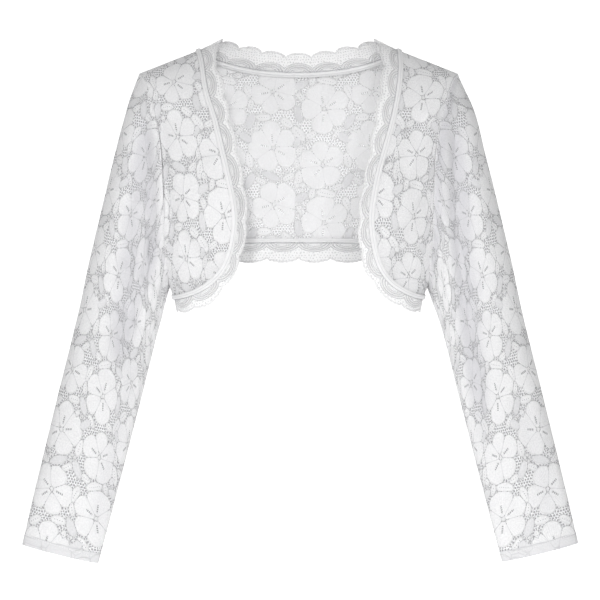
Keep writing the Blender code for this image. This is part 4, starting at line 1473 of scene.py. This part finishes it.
def trim_material():
    made = paint("scalloped_lace", TRIM_WHITE, Roughness=0.6, **CLOTH)
    x, y, flat = flat_places(made.node_tree)
    lobe, from_seam, from_edge = parts_of(made.node_tree, "lobe_place")
    aside = to_middle(lobe) * (SCALLOP / MM)

    # Nested arches of cords, with grooves and rows of dots between them
    arch = length_of(aside / ARCH_HALF, from_seam / ARCH_HEIGHT)
    among = above(arch, ARCH_FIRST, 0.01) * below(arch, ARCH_LAST, 0.01)
    step = abs(to_middle(arch / ARCH_STEP))
    cords = below(step, 0.2, 0.12) * among
    grooves = above(step, 0.36, 0.08) * among
    dot_across = to_middle(maths("ARCTAN2", from_seam, aside) * ARCH_DOTS) * ARCH_DOT_PITCH
    dot_up = (step - 0.5) * (ARCH_STEP * ARCH_HEIGHT)
    arch_dots = below(length_of(dot_across, dot_up), ARCH_DOT, SOFT) * among

    # The leaf under the arches, and the eyelets outside and inside them
    leaf_up = from_seam - LEAF_UP
    leaf = length_of(aside / LEAF_HALF, leaf_up / LEAF_HEIGHT)
    vein = ridge(leaf_up, 0.0, 0.22, 0.15) * below(leaf, 0.8, 0.1)
    outside = above(arch, ARCH_LAST + 0.02, 0.01) * above(from_edge, EDGE_CORD_END, 0.2)
    under = below(arch, ARCH_FIRST - 0.03, 0.01) * above(leaf, 1.2, 0.05) * above(from_seam, UNDER_TAPE, 0.2)
    eyelets = eyelet_rows(x, y, flat)
    holes = highest(eyelets * highest(outside, under * 0.9) * EYELET_DEPTH, arch_dots)

    # How high each part stands, then how dark each line of painted shade is
    leaf_height = ridge(leaf, 1.0, 0.13, 0.08) * 0.6 + below(leaf, 0.9, 0.1) * 0.35
    edge_cord = ridge(from_edge, EDGE_CORD_AT, 0.7, 0.4)
    height = cords * 0.8 + leaf_height + edge_cord * 0.6 + speckle(flat, 0.7, 2.0) * 0.14 - eyelets * 0.45
    # grooves, holes, the tape's shadow, the vein, the leaf's outline and the line inside the edge cord are
    # painted shade
    dark = highest(
        grooves * 0.75,
        holes * 0.35,
        ridge(from_seam, TAPE_SHADOW, 0.5, 0.4) * 0.8,
        vein * 0.6,
        ridge(leaf, 1.22, 0.07, 0.05) * 0.5,
        ridge(from_edge, EDGE_CORD_END - 0.1, 0.3, 0.2) * 0.35,
    )
    colour = colour_mix(dark, TRIM_WHITE, TRIM_PAINTED_GREY)
    connect(made, colour, height, TRIM_RELIEF, 1.0 - holes * TRIM_HOLE_DEPTH)
    return made


scalloped_lace = trim_material()

# %% [markdown]
# The tape is a narrow plain weave with fine ribs across it, a firm edge on each side and a faint line of
# painted shade along its middle, where it is folded over the seam. Painted shade also greys the gaps between
# the ribs. The sewing thread is a plain satin white.

# %% Tape and thread materials
TAPE_WHITE = (0.93, 0.93, 0.935)
TAPE_PAINTED_GREY = (0.56, 0.56, 0.58)
TAPE_RIB = 0.9
TAPE_EDGE = 2.3
TAPE_RELIEF = 0.5 * MM
THREAD_COLOUR = (0.88, 0.88, 0.89)


def tape_material():
    made = paint("woven_tape", TAPE_WHITE, Roughness=0.5, Sheen_Weight=0.15, Specular_IOR_Level=0.35)
    x, y, flat = flat_places(made.node_tree)
    rib = ridge(to_middle(x / TAPE_RIB), 0.0, 0.25, 0.2)
    height = rib * 0.25 + ridge(abs(y), TAPE_EDGE, 0.25, 0.15) * 0.4 + speckle(flat, 0.6, 2.0) * 0.15
    # painted shade between the ribs and along the middle fold
    tape_shade = highest((1.0 - rib) * 0.15, ridge(y, 0.0, 0.3, 0.3) * 0.6)
    connect(made, colour_mix(tape_shade, TAPE_WHITE, TAPE_PAINTED_GREY), height, TAPE_RELIEF)
    return made


woven_tape = tape_material()
sewing_thread = paint("sewing_thread", THREAD_COLOUR, Roughness=0.45)
print(sewing_thread.name)

# %% [markdown]
# The rows of stitches along the tapes and the seams are real small stitches. A Geometry Nodes tree lays one
# grain of thread at every step along a line, turned to the line and standing off the cloth, so one tree
# serves every seam, and pitch and size stay numbers that can be changed.

# %% Stitch tree
STITCH_SIDES, STITCH_RINGS = 6, 4
STITCH_INPUTS = ("Pitch", "Length", "Width", "Height")


def stitch_tree(material):
    """Grains of thread at even steps along every line; the lines' attribute up points off the cloth."""
    tree = bpy.data.node_groups.new("stitches_along_lines", "GeometryNodeTree")
    tree.interface.new_socket("Lines", in_out="INPUT", socket_type="NodeSocketGeometry")
    for name in STITCH_INPUTS:
        tree.interface.new_socket(name, in_out="INPUT", socket_type="NodeSocketFloat")
    tree.interface.new_socket("Stitches", in_out="OUTPUT", socket_type="NodeSocketGeometry")
    given = add_node(tree, "NodeGroupInput").outputs

    def made(kind, inputs=(), **settings):
        return add_node(tree, kind, inputs, **settings).outputs[0]

    curve = made("GeometryNodeMeshToCurve", {"Mesh": given["Lines"]})
    spaced = made("GeometryNodeResampleCurve", {"Curve": curve, "Length": given["Pitch"]}, mode="LENGTH")
    tangent = made("GeometryNodeInputTangent")
    up = made("GeometryNodeInputNamedAttribute", {"Name": "up"}, data_type="FLOAT_VECTOR")
    along = made("FunctionNodeAlignRotationToVector", {"Vector": tangent}, axis="X")
    turned = {"Rotation": along, "Vector": up}
    upright = made("FunctionNodeAlignRotationToVector", turned, axis="Z", pivot_axis="X")
    round_grain = {"Segments": STITCH_SIDES, "Rings": STITCH_RINGS, "Radius": 0.5}
    grain = made("GeometryNodeMeshUVSphere", round_grain)
    size = made("ShaderNodeCombineXYZ", {"X": given["Length"], "Y": given["Width"], "Z": given["Height"]})
    placing = {"Points": spaced, "Instance": grain, "Rotation": upright, "Scale": size}
    placed = made("GeometryNodeInstanceOnPoints", placing)
    real = made("GeometryNodeRealizeInstances", {"Geometry": placed})
    rounded_off = made("GeometryNodeSetShadeSmooth", {0: real})
    coated = made("GeometryNodeSetMaterial", {"Geometry": rounded_off, "Material": material})
    add_node(tree, "NodeGroupOutput", {0: coated})
    print(tree.name, len(tree.nodes), "nodes")
    return tree


STITCHES = stitch_tree(sewing_thread)

# %% [markdown]
# To sew, the lines of a seam become a mesh of edges, and the tree runs on it as a modifier with that seam's
# sizes. The result is taken off as a plain mesh, and the lines are thrown away.

# %% Sewing
def sew(name, lines, sizes):
    """One mesh of stitches along lines, each given as its points and their directions off the cloth."""
    edges, start = [], 0
    for line, _ in lines:
        edges += [(start + k, start + k + 1) for k in range(len(line) - 1)]
        start += len(line)
    mesh = bpy.data.meshes.new(name + "_lines")
    mesh.from_pydata(np.concatenate([line for line, _ in lines]).tolist(), edges, [])
    path = add_object(name + "_lines", mesh)
    add_layer(path, "up", "POINT", np.concatenate([up for _, up in lines]))
    grow = path.modifiers.new("stitches", "NODES")
    grow.node_group = STITCHES
    sockets = {item.name: item.identifier for item in STITCHES.interface.items_tree if item.in_out == "INPUT"}
    for word, value in zip(STITCH_INPUTS, sizes):
        grow[sockets[word]] = value
    ready = path.evaluated_get(bpy.context.evaluated_depsgraph_get())
    sewn = add_object(name, bpy.data.meshes.new_from_object(ready))
    sewn.data.name = name
    path.modifiers.remove(grow)
    bpy.data.objects.remove(path, do_unlink=True)
    return sewn


print("sewing takes", STITCH_INPUTS)

# %% [markdown]
# Now the pieces are made. Each panel is the body's surface with its creases pushed in. It carries its place
# in flat cloth and the chart, and its inner side is marked as the wrong side. It takes the place of the
# solid with the same name.

# %% Lace of the fronts and the back
SIDE_NAMES = {-1: "right", 1: "left"}
# painted fold shade: the fold depth that gives the most grey, and the share of grey it gives
FOLD_DEEPEST = 9 * MM
FOLD_SHADE = 0.6
pieces = {}
grids = {}


def dress(piece, material, node):
    """Gives a piece its material and puts it in the place of a solid of the rigid model."""
    piece.data.materials.append(material)
    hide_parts(node)
    pieces[piece.name] = piece


def make_lace(name, node, points, normals, flat, sunk, wall=SHELL_WALL, closed=False):
    """A shell of flowered lace. Where it lies deep in a fold, its outer side is greyer with painted shade."""
    piece = shell(name, points, normals, wall, closed)
    spread_flat(piece, *flat)
    chart_on(piece)
    mark_points(piece, "wrong_side", 0, 1)
    # the outer side gets painted fold shade from how deep it lies in a fold
    mark_points(piece, "fold", FOLD_SHADE * step_up(sunk / FOLD_DEEPEST), 0)
    dress(piece, lace, node)
    grids[name] = (points, normals)
    return piece


def make_panel(kind, face, side):
    places = front_places(side) if kind == "front" else back_places(side)
    turn, drop = places[..., 0], places[..., 1]
    points = torso_point(turn, drop, side, face)
    normals = torso_normals(places, side, face)
    sunk = body_sunk(BODY_CREASES, np.abs(points[..., 0]), drop, side, face) * side_fade(turn)
    points = points - normals * sunk[..., None]
    flat = (reach(turn, drop, face) * side, -flat_drop(drop, face))
    word = SIDE_NAMES[side]
    return make_lace(kind + "_lace_" + word, kind + "_" + word, points, normals, flat, sunk)


for side in (-1, 1):
    make_panel("front", -1, side)
    make_panel("back", 1, side)
print(list(pieces))

# %% [markdown]
# The lace of a sleeve is laid out from the middle of its outer side, so that the pattern only breaks at the
# underarm seam. The end of the sleeve is turned up and stitched. There the cloth is doubled, so the wall is
# thicker and the holes close.

# %% Lace of the sleeves
CUFF_DEPTH = 13 * MM
CUFF_STEP = 1 * MM
CUFF_EXTRA = 0.7 * MM


def make_sleeve(side):
    points, alongs, sunk = sleeve_points(side)
    normals = surface_normals(points, closed=True) * (-side)
    steps = np.linalg.norm(np.roll(points, -1, axis=1) - points, axis=2)
    round_at = np.cumsum(steps, axis=1) - steps - steps.sum(axis=1, keepdims=True) / 2
    from_cuff = SLEEVE_LENGTH[side] - alongs
    cuff = step_up((CUFF_DEPTH - from_cuff) / CUFF_STEP)
    wall = SHELL_WALL + CUFF_EXTRA * cuff
    word = SIDE_NAMES[side]
    flat = (round_at, -alongs)
    piece = make_lace("sleeve_lace_" + word, "sleeve_" + word, points, normals, flat, sunk, wall, closed=True)
    mark_points(piece, "doubled", cuff, cuff)
    return piece


for side in (-1, 1):
    print(make_sleeve(side).name)

# %% [markdown]
# Each band is made with its two tapes, because all three share one seam. The band's lace needs the number of
# its scallop and the distances from the seam and from the free edge. Two rows of each tape are kept as the
# lines that its stitches will follow.

# %% Bands and tapes
STITCH_LIFT = 0.2 * MM
STITCH_ROWS = (1, 5)
BANDS = table("kind side node", ("front", -1, "front_trim_right"), ("front", 1, "front_trim_left"),
              ("neck", 0, "neck_trim"), ("hem", 0, "hem_trim"))


def make_band(kind, side, node):
    points, along, across, lobe = band_points(kind, side)
    band = shell(node + "_lace", points, surface_normals(points), BAND_WALL)
    spread_flat(band, along, across)
    lobe_place = np.stack([lobe, across / MM, (across[-1:] - across) / MM], axis=-1).reshape(-1, 3)
    add_layer(band, "lobe_place", "POINT", np.concatenate([lobe_place, lobe_place]))
    dress(band, scalloped_lace, node)


def make_tape(kind, side, node, outside):
    """Also gives back the lines of its stitches, with their directions off the cloth."""
    strip, at, out = tape_points(kind, side, outside)
    normals = surface_normals(strip)
    normals = normals * np.sign(np.sum(normals[len(TAPE_SHARES) // 2] * out))
    tape = shell(node + "_strip", strip, normals, TAPE_WALL)
    across = np.broadcast_to(TAPE_SHARES[:, None] * TAPE_HALF, strip.shape[:2])
    spread_flat(tape, np.broadcast_to(at, strip.shape[:2]), across)
    dress(tape, woven_tape, node)
    return [(strip[row] + normals[row] * (TAPE_WALL / 2 + STITCH_LIFT), normals[row]) for row in STITCH_ROWS]


tape_rows = []
for row in BANDS:
    make_band(row.kind, row.side, row.node)
    for outside, word in ((1, "tape_"), (-1, "inner_tape_")):
        tape_rows += make_tape(row.kind, row.side, word + row.node.replace("_trim", ""), outside)
print(len(BANDS), "bands and", len(tape_rows) // 2, "tapes")

# %% [markdown]
# Stitches hold all of it together: two rows along each tape, and one along the shoulders, the sides, the
# centre back, the armholes, the underarms and the turned cuffs. The seams of the cloth are sewn with a
# thicker stitch than the tapes. No solid of the rigid model stands for stitches, so they replace none.

# %% Stitches
STITCH_PITCH = 3.0 * MM
TAPE_STITCH = (STITCH_PITCH, 2.3 * MM, 0.55 * MM, 0.4 * MM)
SEAM_STITCH = (STITCH_PITCH, 2.4 * MM, 1.1 * MM, 0.7 * MM)
WHOLE = np.s_[:]
CUFF_ROW = -1 - round(CUFF_DEPTH / ROW_LENGTH)


def on_side(name, take, outside=1):
    """A line of a grid, lifted to the outer or inner side of its wall, with its directions off the cloth."""
    points, normals = grids[name]
    up = normals[take] * outside
    return points[take] + up * (SHELL_WALL / 2 + STITCH_LIFT), up


def seam_rows(word):
    front, back, arm = "front_lace_" + word, "back_lace_" + word, "sleeve_lace_" + word
    taken = [on_side(front, (1, WHOLE)), on_side(back, (1, WHOLE))]
    taken += [on_side(front, (np.s_[ARMHOLE_STEPS:], -2)), on_side(arm, (np.s_[3:], 0))]
    taken += [on_side(back, (WHOLE, 1)), on_side(back, (WHOLE, 1), -1)]
    for row in (1, CUFF_ROW):
        taken.append([np.concatenate([line, line[:1]]) for line in on_side(arm, (row, WHOLE))])
    return taken


SEWN = table(
    "name rows sizes slot",
    ("tape_stitches", tape_rows, TAPE_STITCH, "tape"),
    ("seam_stitches_right", seam_rows("right"), SEAM_STITCH, "lace"),
    ("seam_stitches_left", seam_rows("left"), SEAM_STITCH, "lace"),
)
for row in SEWN:
    pieces[row.name] = sew(row.name, row.rows, row.sizes)
    print(row.name, len(pieces[row.name].data.polygons), "faces")

# %% [markdown]
# A maker cuts each of these pieces from flat cloth. The cut says how wide and how long the flat piece is, in
# metres, what it hangs on and what is sewn on with it. The numbers are lengths along the seams and round the
# sleeves. The tapes are too narrow to be a sheet of their own, so each goes with its band.

# %% Cut of the cloth
CUTS = table(
    "piece width length area rests_on",
    ("back_lace_right", 0.258, 0.317, 0.046, []),
    ("back_lace_left", 0.258, 0.317, 0.046, []),
    ("front_lace_right", 0.166, 0.320, 0.027, ["back_lace_right"]),
    ("front_lace_left", 0.152, 0.320, 0.024, ["back_lace_left"]),
    ("sleeve_lace_right", 0.36, 0.60, 0.138, ["front_lace_right", "back_lace_right"]),
    ("sleeve_lace_left", 0.36, 0.60, 0.138, ["front_lace_left", "back_lace_left"]),
    ("front_trim_right_lace", 0.033, 0.428, 0.0088, ["front_lace_right"]),
    ("front_trim_left_lace", 0.033, 0.416, 0.0089, ["front_lace_left"]),
    ("neck_trim_lace", 0.035, 0.307, 0.0084, ["back_lace_right", "back_lace_left"]),
    ("hem_trim_lace", 0.030, 0.447, 0.0106, ["back_lace_right", "back_lace_left"]),
)


def sewn_on(name):
    """The pieces that are cut or sewn along with this one."""
    if name.startswith("sleeve"):
        return [name.replace("sleeve_lace", "seam_stitches")]
    if "_trim" in name:
        tape = "tape_" + name.replace("_trim", "").replace("_lace", "_strip")
        return [tape, "inner_" + tape]
    return []


for cut in CUTS:
    with_it = [pieces[name] for name in sewn_on(cut.piece)]
print(len(CUTS), "sheets")

# %% [markdown]
# The garment is one rigid body in the model, since cloth that drapes is not a joint. So every piece rides on
# that one body.

# %% Everything rides on the garment's one body
for piece in pieces.values():
    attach(piece, "root")
    piece.data.calc_loop_triangles()
    print("PIECE", piece.name, len(piece.data.loop_triangles), "triangles")
